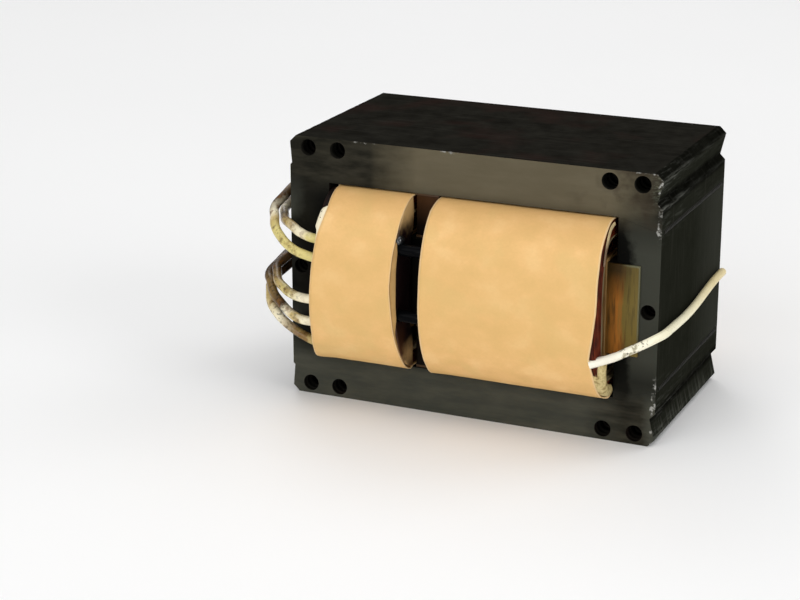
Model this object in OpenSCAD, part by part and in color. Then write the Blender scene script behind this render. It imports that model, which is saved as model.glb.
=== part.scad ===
/* [Core] */
// Length of the core, along the coil axis
core_w = 163; // [150:1:180]
// Depth of the lamination stacks, front to rear
stack_d = 88; // [70:1:110]
// Height of the tongue that carries both coils
tongue_h = 38; // [34:1:44]
// Height of the top and bottom legs at the windows
leg_h = 19; // [17:0.5:24]
// Height of each winding window
window_h = 19; // [18:0.5:24]
// Width of the two yokes
yoke_w = 18; // [16:0.5:22]
// Fall of each slanted joint from the window's corner to the outer side
joint_drop = 5; // [3:0.5:7]
// Chamfer on the long outer edges of the legs
leg_chamfer = 2.75; // [1:0.25:4]
// Depth of the notch in the left end of each leg
left_notch = 0.8; // [0.4:0.1:3]
// Depth of the notch in the right end of each leg
right_notch = 2.2; // [0.4:0.1:3]
// Distance of the notches' roots from the leg's outer face
notch_drop = 12; // [9:0.5:14]

/* [Mounting holes] */
// Radius of the holes in the legs
leg_hole_r = 3.5; // [2:0.25:4]
// Distance of the leg holes from the leg's outer face
leg_hole_drop = 4.75; // [4.5:0.25:7]
// Distance of the outer leg holes from the end of the core
outer_hole_inset = 8.5; // [8:0.5:10]
// Distance of the inner leg holes from the end of the core
inner_hole_inset = 22; // [19:0.5:30]
// Radius of the hole in each yoke
yoke_hole_r = 3.15; // [2:0.05:3.5]
// Distance of the yoke holes from the end of the core
yoke_hole_inset = 4.5; // [4:0.25:8]

/* [Joint welds] */
// Radius of the weld bead that closes each slanted joint
weld_r = 1.3; // [1:0.1:2]
// Height of the weld bead above the core's side
weld_proud = 0.4; // [0.2:0.1:0.8]
// Bare length of joint at each end of a weld
weld_inset = 3; // [1:0.5:10]

/* [Magnetic shunts] */
// Place of the shunts along the coil axis, from the core's middle
shunt_x = -19; // [-24:0.5:-12]
// Width of each shunt stack
shunt_w = 10; // [6:0.5:10]
// Set-back of the shunts' ends from the stack's front and rear
shunt_setback = 1; // [0:0.5:14]
// Thickness of the spacers that set the shunts' air gaps
spacer_t = 1; // [0.5:0.1:2]

/* [Coils] */
// Clear distance between the two coils
coil_gap = 11; // [11:0.5:16]
// Clearance between a coil and the end of its window
coil_end_clear = 1.5; // [1:0.25:4]
// Clearance between a coil and the leg above or below it
coil_leg_clear = 0.5; // [0.3:0.1:1.5]
// Reach of the coils in front of and behind the core
coil_bulge = 21; // [19:0.5:26]
// Clearance between the coil tube and what it slides over
tube_clear = 0.3; // [0.2:0.05:0.6]
// Wall of the paper tube that the coil is wound on
tube_t = 1.5; // [1:0.1:2]
// Build of the inner winding
inner_build = 8.5; // [7:0.25:9]
// Thickness of the paper between the windings
layer_paper_t = 1; // [0.5:0.1:1.5]
// Thickness of the outer paper wrap
wrap_t = 0.8; // [0.4:0.1:1.2]
// Set-back of the tube's ends from the wrap's edge
tube_setback = 2; // [1:0.25:4]
// Set-back of the inner winding's ends from the wrap's edge
inner_setback = 4; // [2:0.25:6]
// Set-back of the layer paper's ends from the wrap's edge
layer_setback = 0.5; // [0.25:0.25:2]
// Set-back of the outer winding's ends from the wrap's edge
outer_setback = 1; // [0.5:0.25:2]
// Wire layers in each winding
wire_layers = 5; // [3:1:6]
// Depth of the grooves between the wire layers at a coil's end
groove_depth = 0.6; // [0.3:0.1:1]

/* [Insulating strips] */
// Thickness of the strips between the tongue's faces and the coil tubes
strip_t = 1.2; // [0.8:0.1:2]
// Distance of the strips' right end from the end of the core
strip_end_inset = 8; // [7:0.25:12]
// Set-back of the strips' hidden ends from the wrap's edge
strip_setback = 3; // [2.5:0.5:6]

/* [Jumpers] */
// Radius of the sleeved jumpers from coil to coil
jumper_r = 2.5; // [1.5:0.1:2.5]
// Radius to which the jumpers are bent
jumper_bend = 24; // [16:1:40]
// Height of the upper jumper above the tongue's middle
upper_jumper_rise = 18; // [10:1:18]
// Depth of the lower jumper below the tongue's middle
lower_jumper_drop = 10; // [8:1:16]

/* [Leads] */
// Diameter of the five insulated leads at the left end
left_lead_d = 4; // [3:0.1:4]
// Diameter of the insulated lead at the right end
right_lead_d = 3.5; // [3:0.1:4]

/* [Hidden] */
$fn = 64;

// Core heights and edges that the other pieces seat on
core_h = tongue_h + 2 * (window_h + leg_h);
mid_z = core_h / 2;
half_w = core_w / 2;
half_d = stack_d / 2;
half_window = half_w - yoke_w;
half_tongue = tongue_h / 2;
window_top = core_h - leg_h;
joint_z = window_top - joint_drop;
shunt_d = stack_d - 2 * shunt_setback;
// Length by which a cutting tool runs past what it cuts
cut = 1;

// Ends of the two coils' wraps along the coil axis
left_x = [-half_window + coil_end_clear, shunt_x - coil_gap / 2];
right_x = [shunt_x + coil_gap / 2, half_window - coil_end_clear];

// Coil shells as [bulge past the stack, half height, squareness], from the tube outwards
tube_shell = [strip_t + tube_clear + tube_t, half_tongue + tube_clear + tube_t, 8];
inner_shell = grown(tube_shell, inner_build, 3);
paper_shell = grown(inner_shell, layer_paper_t, 3);
wrap_shell = [coil_bulge, half_tongue + window_h - coil_leg_clear, 2];
outer_shell = grown(wrap_shell, -wrap_t, 2);
// Share of a wire layer that the groove beside it takes
groove_share = 0.12;
// Angle between the points of a coil's rounded front
nose_step = 10;

// Routes of the leads, chosen by hand: five round the left end, one round the right end
LEAD_SIDES = 8;
ROUTE_1 = [[-61, -58.5, 74.5], [-66, -58, 75], [-71, -56.5, 76], [-76, -53, 77], [-80.5, -48.5, 77],
    [-84.5, -43.5, 76.5], [-88, -38, 76.5], [-90, -31.5, 78], [-90, -24.5, 80.5], [-88.5, -16, 83],
    [-86.5, -5, 84.5], [-85.5, 8, 84.5], [-85.5, 21, 84], [-85.5, 34, 83.5]];
ROUTE_2 = [[-61, -60, 66.5], [-66, -60.5, 67], [-71, -60, 68], [-76, -58, 69.5], [-81, -55, 72],
    [-85.5, -51, 75], [-88.5, -46.5, 78], [-90, -41, 81], [-89.5, -35, 84.5], [-88, -27, 87.5],
    [-86, -16, 89.5], [-85, -1, 90], [-85, 15, 89.5], [-85, 31, 89]];
ROUTE_3 = [[-61, -60, 48.5], [-66, -60, 48.5], [-71, -59, 48.5], [-76, -57, 49], [-80.5, -54, 50],
    [-85, -50, 51], [-88.5, -45, 52.5], [-90, -39.5, 54.5], [-89.5, -33, 57], [-88, -24.5, 60],
    [-86, -13, 63], [-85, 2, 64], [-85, 17, 63.5], [-85, 32, 63]];
ROUTE_4 = [[-61, -58.5, 38.5], [-66, -58.5, 38.5], [-71.5, -58, 39], [-77, -56, 40.5], [-82.5, -53, 43],
    [-87.5, -49.5, 45.5], [-91.5, -45, 48], [-94, -39.5, 50.5], [-94, -33, 53.5], [-92, -25, 56.5],
    [-88.5, -13, 58.5], [-86, 2, 59], [-85.5, 18, 58.5], [-85.5, 34, 58]];
ROUTE_5 = [[-61, -51, 25.5], [-65.5, -52, 26.5], [-70, -53.5, 28.5], [-74.5, -54.5, 31], [-79.5, -54.5, 34],
    [-84.5, -52.5, 37], [-89, -49, 40], [-92.5, -44, 43], [-94, -37.5, 46.5], [-93, -29, 50],
    [-90, -18, 53], [-87, -3, 54], [-86, 14, 53.5], [-86, 31, 53]];
ROUTE_6 = [[61, -59, 39], [65.5, -60.5, 40.3], [70, -61, 42.3], [74.5, -60, 44.8], [79, -57, 46.9],
    [82.5, -52, 48.5], [84.3, -45, 49.2], [84.2, -36, 49], [84, -25, 48.2], [83.8, -12, 47.8],
    [83.8, 1, 48.7], [83.8, 14, 50.2], [83.8, 27, 51], [83.8, 40, 50.9]];

// A coil shell moved outwards by one build, with its own squareness
function grown(shell, build, squareness) = [shell[0] + build, shell[1] + build, squareness];

// A shell part of the way from one shell to the next
function between(a, b, share) = a + (b - a) * share;

// Closed outline of a coil shell, flat along the stack and rounded before and behind it
function nose_point(shell, t, side) = [
    side * (half_d + shell[0] * pow(abs(cos(t)), 2 / shell[2])),
    side * shell[1] * sign(sin(t)) * pow(abs(sin(t)), 2 / shell[2])];
function outline(shell) = [
    for (side = [1, -1])
    for (t = [-90 : nose_step : 90])
    nose_point(shell, t, side)];

// Reach of a shell's front from the stack's middle, at a height above or below the tongue's middle
function nose_reach(shell, rise) =
    half_d + shell[0] * pow(1 - pow(abs(rise) / shell[1], shell[2]), 1 / shell[2]);

// Rings of a lead: each is square to the route, and the first one to the coil's end
function unit(v) = v / norm(v);
function route_dir(route, i) =
    i == 0 ? [sign(route[1][0] - route[0][0]), 0, 0] :
    i == len(route) - 1 ? unit(route[i] - route[i - 1]) :
    unit(unit(route[i + 1] - route[i]) + unit(route[i] - route[i - 1]));
function lead_ring(route, d, i) =
    let (ahead = route_dir(route, i), across = unit(cross([0, 0, 1], ahead)), up = cross(ahead, across))
    [for (k = [0 : LEAD_SIDES - 1])
        route[i] + d / 2 * (cos(360 * k / LEAD_SIDES) * across + sin(360 * k / LEAD_SIDES) * up)];

// Outline of the top leg: each end has its chamfer, its notch and its slanted joint face
function leg_end(notch) = [
    [half_w - leg_chamfer, core_h],
    [half_w, core_h - leg_chamfer],
    [half_w - notch, core_h - notch_drop],
    [half_w, core_h - notch_drop - notch],
    [half_w, joint_z],
    [half_window, window_top]];
function turned_over(points) = [for (i = [len(points) - 1 : -1 : 0]) [-points[i][0], points[i][1]]];
function leg_outline() = concat(leg_end(right_notch), turned_over(leg_end(left_notch)));

// Outline in X and Z drawn through the whole depth of the stack
module through_stack() {
    translate([0, half_d, 0])
        rotate([90, 0, 0])
        linear_extrude(stack_d)
        children();
}

module hole(x, z, r) {
    translate([x, half_d + cut, z])
        rotate([90, 0, 0])
        cylinder(h = stack_d + 2 * cut, r = r);
}

// One weld bead in the mouth of a slanted joint, also cut from the core so that the bead fills its groove
module weld(side, z) {
    length = stack_d - 2 * weld_inset;
    translate([side * (half_w + weld_proud - weld_r), length / 2, z])
        rotate([90, 0, 0])
        cylinder(h = length, r = weld_r);
}

module joint_grooves() {
    for (side = [-1, 1])
        for (z = [joint_z, core_h - joint_z])
            weld(side, z);
}

// Top leg: one bar of stamped laminations with notched ends and slanted joint faces
module leg() {
    difference() {
        through_stack()
            polygon(leg_outline());
        for (side = [-1, 1])
            for (inset = [outer_hole_inset, inner_hole_inset])
                hole(side * (half_w - inset), core_h - leg_hole_drop, leg_hole_r);
        joint_grooves();
    }
}

module top_leg() {
    color("#24241f")
        leg();
}

module bottom_leg() {
    color("#24241f")
        translate([0, 0, core_h])
        mirror([0, 0, 1])
        leg();
}

// Outline of the right yoke, between the two slanted joints
module yoke_outline() {
    polygon([
        [half_window, core_h - window_top],
        [half_window, window_top],
        [half_w, joint_z],
        [half_w, core_h - joint_z]]);
}

// T-shaped stack: the tongue that carries the coils, and the left yoke
module tongue_and_yoke() {
    color("#2b2b27")
        difference() {
            through_stack()
                union() {
                    mirror([1, 0])
                        yoke_outline();
                    translate([-half_window - yoke_w / 2, mid_z - half_tongue])
                        square([2 * half_window + yoke_w / 2, tongue_h]);
                }
            hole(yoke_hole_inset - half_w, mid_z, yoke_hole_r);
            joint_grooves();
        }
}

// Closing yoke, butted against the tongue's end once the coils are on
module right_yoke() {
    color("#2b2b27")
        difference() {
            through_stack()
                yoke_outline();
            hole(half_w - yoke_hole_inset, mid_z, yoke_hole_r);
            joint_grooves();
        }
}

module weld_top_left() {
    color("#3a3834")
        weld(-1, joint_z);
}

module weld_top_right() {
    color("#3a3834")
        weld(1, joint_z);
}

module weld_bottom_left() {
    color("#3a3834")
        weld(-1, core_h - joint_z);
}

module weld_bottom_right() {
    color("#3a3834")
        weld(1, core_h - joint_z);
}

// Block centred on the shunts' place, lying on height z
module shunt_block(depth, z, height) {
    translate([shunt_x - shunt_w / 2, -depth / 2, z])
        cube([shunt_w, depth, height]);
}

// Shunt stack in the window below the leg, and the spacers that hold it between leg and tongue
module shunt() {
    shunt_block(shunt_d, mid_z + half_tongue + spacer_t, window_h - 2 * spacer_t);
}

module spacers() {
    for (z = [mid_z + half_tongue, window_top - spacer_t])
        shunt_block(shunt_d, z, spacer_t);
}

// Turns a piece of the upper window over into the lower one
module in_lower_window() {
    translate([0, 0, core_h])
        mirror([0, 0, 1])
        children();
}

module upper_shunt() {
    color("#3b2a1e")
        shunt();
}

module lower_shunt() {
    color("#3b2a1e")
        in_lower_window()
        shunt();
}

module upper_spacers() {
    color("#8a6a3c")
        spacers();
}

module lower_spacers() {
    color("#8a6a3c")
        in_lower_window()
        spacers();
}

// Outline in Y and Z drawn along the coil axis, set back from both ends of a coil
module along_coil(ends, setback) {
    translate([ends[0] + setback, 0, mid_z])
        rotate([90, 0, 90])
        linear_extrude(ends[1] - ends[0] - 2 * setback)
        children();
}

module ring(outer, inner) {
    difference() {
        polygon(outline(outer));
        polygon(outline(inner));
    }
}

// Paper tube, rectangular inside so that it slides over the tongue and its two strips
module tube(ends) {
    color("#c8a468")
        along_coil(ends, tube_setback)
        difference() {
            polygon(outline(tube_shell));
            square([2 * (half_d + strip_t + tube_clear), 2 * (half_tongue + tube_clear)], center = true);
        }
}

// Layers of wire between two shells: grooves at both ends part one layer from the next
module winding(ends, setback, inner, outer) {
    color("#6b2814")
        difference() {
            along_coil(ends, setback)
                ring(outer, inner);
            for (i = [1 : wire_layers - 1])
                for (x = [ends[0] + setback - cut, ends[1] - setback - groove_depth])
                    translate([x, 0, mid_z])
                        rotate([90, 0, 90])
                        linear_extrude(groove_depth + cut)
                        ring(between(inner, outer, (i + groove_share) / wire_layers),
                            between(inner, outer, (i - groove_share) / wire_layers));
        }
}

module layer_paper(ends) {
    color("#d6c494")
        along_coil(ends, layer_setback)
        ring(paper_shell, inner_shell);
}

module wrap(ends) {
    color("#e4b878")
        along_coil(ends, 0)
        ring(wrap_shell, outer_shell);
}

module left_tube() {
    tube(left_x);
}

module left_inner_winding() {
    winding(left_x, inner_setback, tube_shell, inner_shell);
}

module left_layer_paper() {
    layer_paper(left_x);
}

module left_outer_winding() {
    winding(left_x, outer_setback, paper_shell, outer_shell);
}

module left_wrap() {
    wrap(left_x);
}

module right_tube() {
    tube(right_x);
}

module right_inner_winding() {
    winding(right_x, inner_setback, tube_shell, inner_shell);
}

module right_layer_paper() {
    layer_paper(right_x);
}

module right_outer_winding() {
    winding(right_x, outer_setback, paper_shell, outer_shell);
}

module right_wrap() {
    wrap(right_x);
}

// Varnished strip on the tongue's front, between two places along the coil axis
module strip(from, to) {
    color("#8a7038")
        translate([from, -half_d - strip_t, mid_z - half_tongue])
        cube([to - from, strip_t, tongue_h]);
}

// One strip inside each coil's tube: the right one reaches out over the right yoke
module front_strip() {
    strip(left_x[0] + strip_setback, left_x[1] - strip_setback);
    strip(right_x[0] + strip_setback, half_w - strip_end_inset);
}

module rear_strip() {
    mirror([0, 1, 0])
        front_strip();
}

// Sleeved jumper bowed across the gap, cut square where it enters the outer windings
module jumper(rise) {
    span = coil_gap + 2 * outer_setback;
    z = mid_z + rise;
    seat_y = (nose_reach(paper_shell, rise) + nose_reach(outer_shell, rise)) / 2;
    bow_back = sqrt(pow(jumper_bend, 2) - pow(span / 2, 2));
    color("#15151a")
        intersection() {
            translate([shunt_x, bow_back - seat_y, z])
                rotate_extrude()
                translate([jumper_bend, 0])
                circle(r = jumper_r);
            translate([shunt_x - span / 2, -seat_y - jumper_bend, z - jumper_bend])
                cube([span, jumper_bend + jumper_r + cut, 2 * jumper_bend]);
        }
}

module upper_jumper() {
    jumper(upper_jumper_rise);
}

module lower_jumper() {
    jumper(-lower_jumper_drop);
}

// Insulated lead swept along its route, cut square at both ends
module lead(route, d, tint) {
    rings = [for (i = [0 : len(route) - 1]) lead_ring(route, d, i)];
    last = (len(route) - 1) * LEAD_SIDES;
    sides = [
        for (i = [0 : len(route) - 2])
        for (k = [0 : LEAD_SIDES - 1])
        let (a = i * LEAD_SIDES + k, b = i * LEAD_SIDES + (k + 1) % LEAD_SIDES)
        each [[a, a + LEAD_SIDES, b], [b, a + LEAD_SIDES, b + LEAD_SIDES]]];
    start = [for (k = [0 : LEAD_SIDES - 1]) k];
    end = [for (k = [LEAD_SIDES - 1 : -1 : 0]) last + k];
    color(tint)
        polyhedron(points = [for (r = rings) each r], faces = concat(sides, [start, end]));
}

module lead_1() {
    lead(ROUTE_1, left_lead_d, "#d8cf9a");
}

module lead_2() {
    lead(ROUTE_2, left_lead_d, "#c9c07a");
}

module lead_3() {
    lead(ROUTE_3, left_lead_d, "#d8cf9a");
}

module lead_4() {
    lead(ROUTE_4, left_lead_d, "#c9c07a");
}

module lead_5() {
    lead(ROUTE_5, left_lead_d, "#d8cf9a");
}

module lead_6() {
    lead(ROUTE_6, right_lead_d, "#f0e6c0");
}

top_leg();
bottom_leg();
tongue_and_yoke();
right_yoke();
weld_top_left();
weld_top_right();
weld_bottom_left();
weld_bottom_right();
upper_shunt();
lower_shunt();
upper_spacers();
lower_spacers();
left_tube();
left_inner_winding();
left_layer_paper();
left_outer_winding();
left_wrap();
right_tube();
right_inner_winding();
right_layer_paper();
right_outer_winding();
right_wrap();
front_strip();
rear_strip();
upper_jumper();
lower_jumper();
lead_1();
lead_2();
lead_3();
lead_4();
lead_5();
lead_6();
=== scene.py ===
import math

import bmesh
import bpy
import numpy as np
from mathutils import Matrix, Vector, noise


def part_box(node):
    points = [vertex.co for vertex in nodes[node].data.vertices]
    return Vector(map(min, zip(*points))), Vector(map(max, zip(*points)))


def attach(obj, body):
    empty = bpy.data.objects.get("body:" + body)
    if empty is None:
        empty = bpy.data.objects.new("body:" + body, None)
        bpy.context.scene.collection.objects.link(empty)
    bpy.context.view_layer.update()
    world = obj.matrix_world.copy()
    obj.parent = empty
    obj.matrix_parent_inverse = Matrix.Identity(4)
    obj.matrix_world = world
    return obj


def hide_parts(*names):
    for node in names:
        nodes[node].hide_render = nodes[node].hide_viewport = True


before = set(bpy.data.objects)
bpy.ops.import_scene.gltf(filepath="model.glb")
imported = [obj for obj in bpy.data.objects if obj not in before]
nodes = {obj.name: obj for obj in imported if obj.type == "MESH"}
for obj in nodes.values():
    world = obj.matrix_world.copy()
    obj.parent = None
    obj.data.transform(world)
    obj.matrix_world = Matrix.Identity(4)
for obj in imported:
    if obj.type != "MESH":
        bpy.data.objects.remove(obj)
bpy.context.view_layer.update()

# Studio: a sheet of white paper under large soft lamps, seen from where the photograph was taken.
# The paper is matt and pale, so it keeps a soft shadow under the core.
scene = bpy.context.scene
scene.view_settings.view_transform = "Standard"

PHOTO_WIDTH = 800
FOCAL_PX = 2127.8
CAMERA_PLACE = (0.31468, -0.81641, 0.32629)
CAMERA_AZIMUTH = math.radians(24.111)
CAMERA_ELEVATION = math.radians(18.212)

camera = bpy.data.objects.new("camera", bpy.data.cameras.new("camera"))
camera.data.sensor_width = 36
camera.data.lens = 36 * FOCAL_PX / PHOTO_WIDTH
camera.location = CAMERA_PLACE
camera.rotation_euler = (math.pi / 2 - CAMERA_ELEVATION, 0, CAMERA_AZIMUTH)
scene.collection.objects.link(camera)
scene.camera = camera


def linear(hex_colour):
    """Linear colour of an sRGB hex value."""
    parts = [int(hex_colour[i : i + 2], 16) / 255 for i in (1, 3, 5)]
    return (*[p / 12.92 if p <= 0.04045 else ((p + 0.055) / 1.055) ** 2.4 for p in parts], 1)


def feed(node, inputs):
    """Sets a node's inputs: a socket is linked, and anything else is a plain value."""
    for key, value in inputs.items():
        if isinstance(value, bpy.types.NodeSocket):
            node.id_data.links.new(value, node.inputs[key])
        else:
            node.inputs[key].default_value = value
    return node


def add_node(tree, kind, inputs, stops=(), **settings):
    """Adds one node to a tree with its inputs, its settings and, on a ramp, its stops: colours or amounts."""
    node = tree.nodes.new(kind)
    for name, value in settings.items():
        setattr(node, name, value)
    for i, (spot, colour) in enumerate(stops):
        marks = node.color_ramp.elements
        mark = marks[i] if i < len(marks) else marks.new(spot)
        mark.position = spot
        mark.color = linear(colour) if isinstance(colour, str) else (colour, colour, colour, 1)
    return feed(node, inputs)


def start_material(name, sockets):
    """New material: its tree, and its shader with the sockets that are the same all over."""
    made = bpy.data.materials.new(name)
    made.use_nodes = True
    return made, made.node_tree, feed(made.node_tree.nodes["Principled BSDF"], sockets)


world = bpy.data.worlds.new("dim_room")
world.use_nodes = True
feed(world.node_tree.nodes["Background"], {"Color": linear("#ffffff"), "Strength": 0.35})
scene.world = world

# Each lamp: place, side of its square and power in watts; all look at the core's middle
LAMPS = {
    "front_softbox": ((-0.6, -1.7, 1.2), 1.4, 11),
    "low_front_card": ((0.1, -1.5, 0.2), 0.6, 7),
    "ceiling_softbox": ((0.0, 0.2, 2.4), 2.4, 19),
    "right_card": ((1.7, -0.5, 0.9), 0.9, 9),
    "rear_left_softbox": ((-1.1, 1.4, 1.6), 1.0, 8),
    "rear_right_softbox": ((1.2, 1.3, 1.6), 1.0, 8),
}
CORE_MIDDLE = Vector((0, 0, 0.057))
for name, (place, side, power) in LAMPS.items():
    lamp = bpy.data.objects.new(name, bpy.data.lights.new(name, "AREA"))
    lamp.data.shape = "SQUARE"
    lamp.data.size = side
    lamp.data.energy = power
    lamp.location = place
    lamp.visible_camera = False
    lamp.rotation_euler = (CORE_MIDDLE - Vector(place)).to_track_quat("-Z", "Y").to_euler()
    scene.collection.objects.link(lamp)

FLOOR_HALF = 6.0
bm = bmesh.new()
bmesh.ops.create_grid(bm, x_segments=1, y_segments=1, size=FLOOR_HALF)
floor = bpy.data.objects.new("paper_floor", bpy.data.meshes.new("paper_floor"))
bm.to_mesh(floor.data)
bm.free()
scene.collection.objects.link(floor)
# Matt paper: no gloss, and faintly clouded
paper_white, tree, shader = start_material("matt_white_paper", {"Roughness": 0.9, "Specular IOR Level": 0.1})
place = add_node(tree, "ShaderNodeTexCoord", {}).outputs["Object"]
cloud = add_node(tree, "ShaderNodeTexNoise", {"Vector": place, "Scale": 3.0, "Detail": 2.0})
tint = add_node(tree, "ShaderNodeMix", {0: cloud.outputs["Fac"], 6: linear("#f5f5f5"), 7: linear("#f9f9f9")},
                data_type="RGBA")
feed(shader, {"Base Color": tint.outputs[2]})
floor.data.materials.append(paper_white)

# Core: four stacks of stamped silicon-steel laminations, dipped in black-brown varnish and baked.
# Sheets are half a millimetre thick and never lie quite level, so the stack's outside is faintly ridged.
MM = 0.001
CORE_HALF_MM = 82
HALF_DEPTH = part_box("top_leg")[1].y
EDGE_ROUND = 0.35 * MM
PACKET_MM = (0.8, 2.6)
PACKET_SHIFT_MM = (-0.07, 0.03)
STEP = 0.04 * MM


def add_piece(name, bm, material, slot, *stands_for):
    """Turns a bmesh into a piece of the object that rides on its one body."""
    mesh = bpy.data.meshes.new(name)
    bm.to_mesh(mesh)
    bm.free()
    piece = bpy.data.objects.new(name, mesh)
    scene.collection.objects.link(piece)
    mesh.materials.append(material)
    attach(piece, "root")
    if stands_for:
        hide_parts(*stands_for)
    return piece


def rounded_copy(node, round_by):
    """A node's own form as joined flat faces, with its outer edges rounded."""
    bm = bmesh.new()
    bm.from_mesh(nodes[node].data)
    bmesh.ops.remove_doubles(bm, verts=bm.verts, dist=0.001 * MM)
    bmesh.ops.dissolve_limit(bm, angle_limit=math.radians(1), verts=bm.verts, edges=bm.edges)
    sharp = [e for e in bm.edges if e.is_convex and e.calc_face_angle(0) > math.radians(25)]
    bmesh.ops.bevel(bm, geom=sharp, offset=round_by, offset_type="OFFSET", affect="EDGES", segments=2,
                    profile=0.5, material=-1, clamp_overlap=True)
    return bm


def lamination_stack(name, node, slot, seed):
    """A stack of sheets: packets of them stand a little proud of, or behind, their neighbours."""
    bm = rounded_copy(node, EDGE_ROUND)
    rng = np.random.default_rng(seed)
    low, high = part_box(node)
    cuts = [low.y + 1.5 * MM]
    while cuts[-1] < high.y - 4 * MM:
        cuts.append(cuts[-1] + rng.uniform(*PACKET_MM) * MM)
    for y in cuts:
        for edge in (y - STEP / 2, y + STEP / 2):
            bmesh.ops.bisect_plane(bm, geom=bm.verts[:] + bm.edges[:] + bm.faces[:], dist=1e-7,
                                   plane_co=(0, edge, 0), plane_no=(0, 1, 0))
    shifts = rng.uniform(*PACKET_SHIFT_MM, len(cuts) + 1) * MM
    shifts[0] = shifts[-1] = 0
    bm.normal_update()
    moves = [(v, Vector((v.normal.x, 0, v.normal.z)) * shifts[np.searchsorted(cuts, v.co.y)]) for v in bm.verts]
    for v, move in moves:
        v.co += move
    for face in bm.faces:
        face.material_index = int(abs(face.normal.y) < 0.7)
    piece = add_piece(name, bm, sheet_face, slot, node)
    piece.data.materials.append(sheet_edges)
    return piece


def knocked_off(tree, place, axes):
    """Where knocks chipped the varnish off the front's right-hand edge, and off the top edge next to it."""
    flake = add_node(tree, "ShaderNodeTexNoise", {"Vector": place, "Scale": 1 / (2.6 * MM), "Detail": 6.0,
                                                  "Roughness": 0.7}).outputs["Fac"]
    bite = add_node(tree, "ShaderNodeMapRange", {"Value": flake, "From Min": 0.5, "From Max": 0.7,
                                                 "To Max": 2.6 * MM}).outputs[0]
    depth = add_node(tree, "ShaderNodeMath", {0: axes["Y"], 1: HALF_DEPTH}, operation="ADD").outputs[0]
    chips = []
    # Each edge: the axis it runs along, from where to where, the axis it stands on, its place and its wear, 0 to 1
    for run, span, across, rim, wear in (
        ("Z", (0, 114), "X", 79.8, ((3, 0.162), (8, 0.527), (12, 0.03), (17, 0.631), (22, 0.162), (26, 0.279),
                                    (31, 0), (85, 0), (88, 0.051), (90, 0.527), (93, 0.117), (103, 0.162),
                                    (108, 1), (112, 0.527))),
        ("X", (-CORE_HALF_MM, CORE_HALF_MM), "Z", 113.6,
         ((-53, 0), (-50, 0.279), (-44, 0.279), (-41, 0), (-14, 0), (-11, 0.352), (-7, 0.352), (-4, 0),
          (63, 0), (67, 0.352), (71, 0.434), (75, 0.051), (79, 0.527))),
    ):
        low, high = span
        spot = add_node(tree, "ShaderNodeMapRange", {"Value": axes[run], "From Min": low * MM,
                                                     "From Max": high * MM}).outputs[0]
        amount = add_node(tree, "ShaderNodeValToRGB", {"Fac": spot},
                          stops=[((mm - low) / (high - low), worn) for mm, worn in wear]).outputs[0]
        reach = add_node(tree, "ShaderNodeMath", {0: bite, 1: amount}, operation="MULTIPLY").outputs[0]
        inward = add_node(tree, "ShaderNodeMath", {0: rim * MM, 1: axes[across]}, operation="SUBTRACT").outputs[0]
        beside = add_node(tree, "ShaderNodeMath", {0: inward, 1: 0.0}, operation="MAXIMUM").outputs[0]
        apart = add_node(tree, "ShaderNodeMath", {0: depth, 1: beside}, operation="ADD").outputs[0]
        inside = add_node(tree, "ShaderNodeMath", {0: reach, 1: apart}, operation="SUBTRACT").outputs[0]
        chips.append(add_node(tree, "ShaderNodeMapRange", {"Value": inside, "From Max": 0.4 * MM}).outputs[0])
    return add_node(tree, "ShaderNodeMath", {0: chips[0], 1: chips[1]}, operation="MAXIMUM").outputs[0]


def bare_steel(tree, place):
    """Steel that shows where the varnish came off, bright in places."""
    spots = add_node(tree, "ShaderNodeTexNoise", {"Vector": place, "Scale": 1 / (4 * MM), "Detail": 3.0})
    return add_node(tree, "ShaderNodeMix", {0: spots.outputs["Fac"], 6: linear("#34342f"), 7: linear("#c4c3bd")},
                    data_type="RGBA").outputs[2]


# Front and rear sheets: a brown sheen is painted in the middle of the top leg, and the tones run dark towards the
# ends
sheet_face, tree, shader = start_material("varnished_sheet_face", {"Specular IOR Level": 0.04})
place = add_node(tree, "ShaderNodeTexCoord", {}).outputs["Object"]
axes = add_node(tree, "ShaderNodeSeparateXYZ", {"Vector": place}).outputs
cloud = add_node(tree, "ShaderNodeTexNoise", {"Vector": place, "Scale": 1 / (16 * MM), "Detail": 6.0,
                                              "Roughness": 0.6}).outputs["Fac"]
along = add_node(tree, "ShaderNodeMapRange", {"Value": axes["X"], "From Min": -CORE_HALF_MM * MM,
                                              "From Max": CORE_HALF_MM * MM}).outputs[0]
drift = add_node(tree, "ShaderNodeMapRange", {"Value": cloud, "To Min": -0.05, "To Max": 0.05}).outputs[0]
spot = add_node(tree, "ShaderNodeMath", {0: along, 1: drift}, operation="ADD").outputs[0]
# One black varnish in four tones by place: black painted as shadow on the yokes beside the coils, a dark and a
# plain grey, and a brown painted sheen in the top leg's middle; the bottom leg is painted dark right of the coil as
# shade
BLACK_AND_SHADE, DARK_VARNISH, PLAIN, SHEEN_BROWN = "#070705", "#1a1913", "#393a33", "#585140"
FACE_TONES = {
    "top": ((-80, DARK_VARNISH), (-44, DARK_VARNISH), (-24, SHEEN_BROWN), (60, SHEEN_BROWN), (80, DARK_VARNISH)),
    "bottom": ((-80, PLAIN), (52, PLAIN), (67, DARK_VARNISH), (76, DARK_VARNISH), (80, PLAIN)),
    "yokes": ((-80, PLAIN), (-74, DARK_VARNISH), (-66, BLACK_AND_SHADE), (68, BLACK_AND_SHADE), (71, PLAIN), (80, PLAIN)),
}
tone = {part: add_node(tree, "ShaderNodeValToRGB", {"Fac": spot},
                       stops=[((x / CORE_HALF_MM + 1) / 2, colour) for x, colour in stops]).outputs[0]
        for part, stops in FACE_TONES.items()}
level = add_node(tree, "ShaderNodeMath", {0: axes["Z"], 1: -CORE_MIDDLE.z}, operation="ADD").outputs[0]
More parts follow.
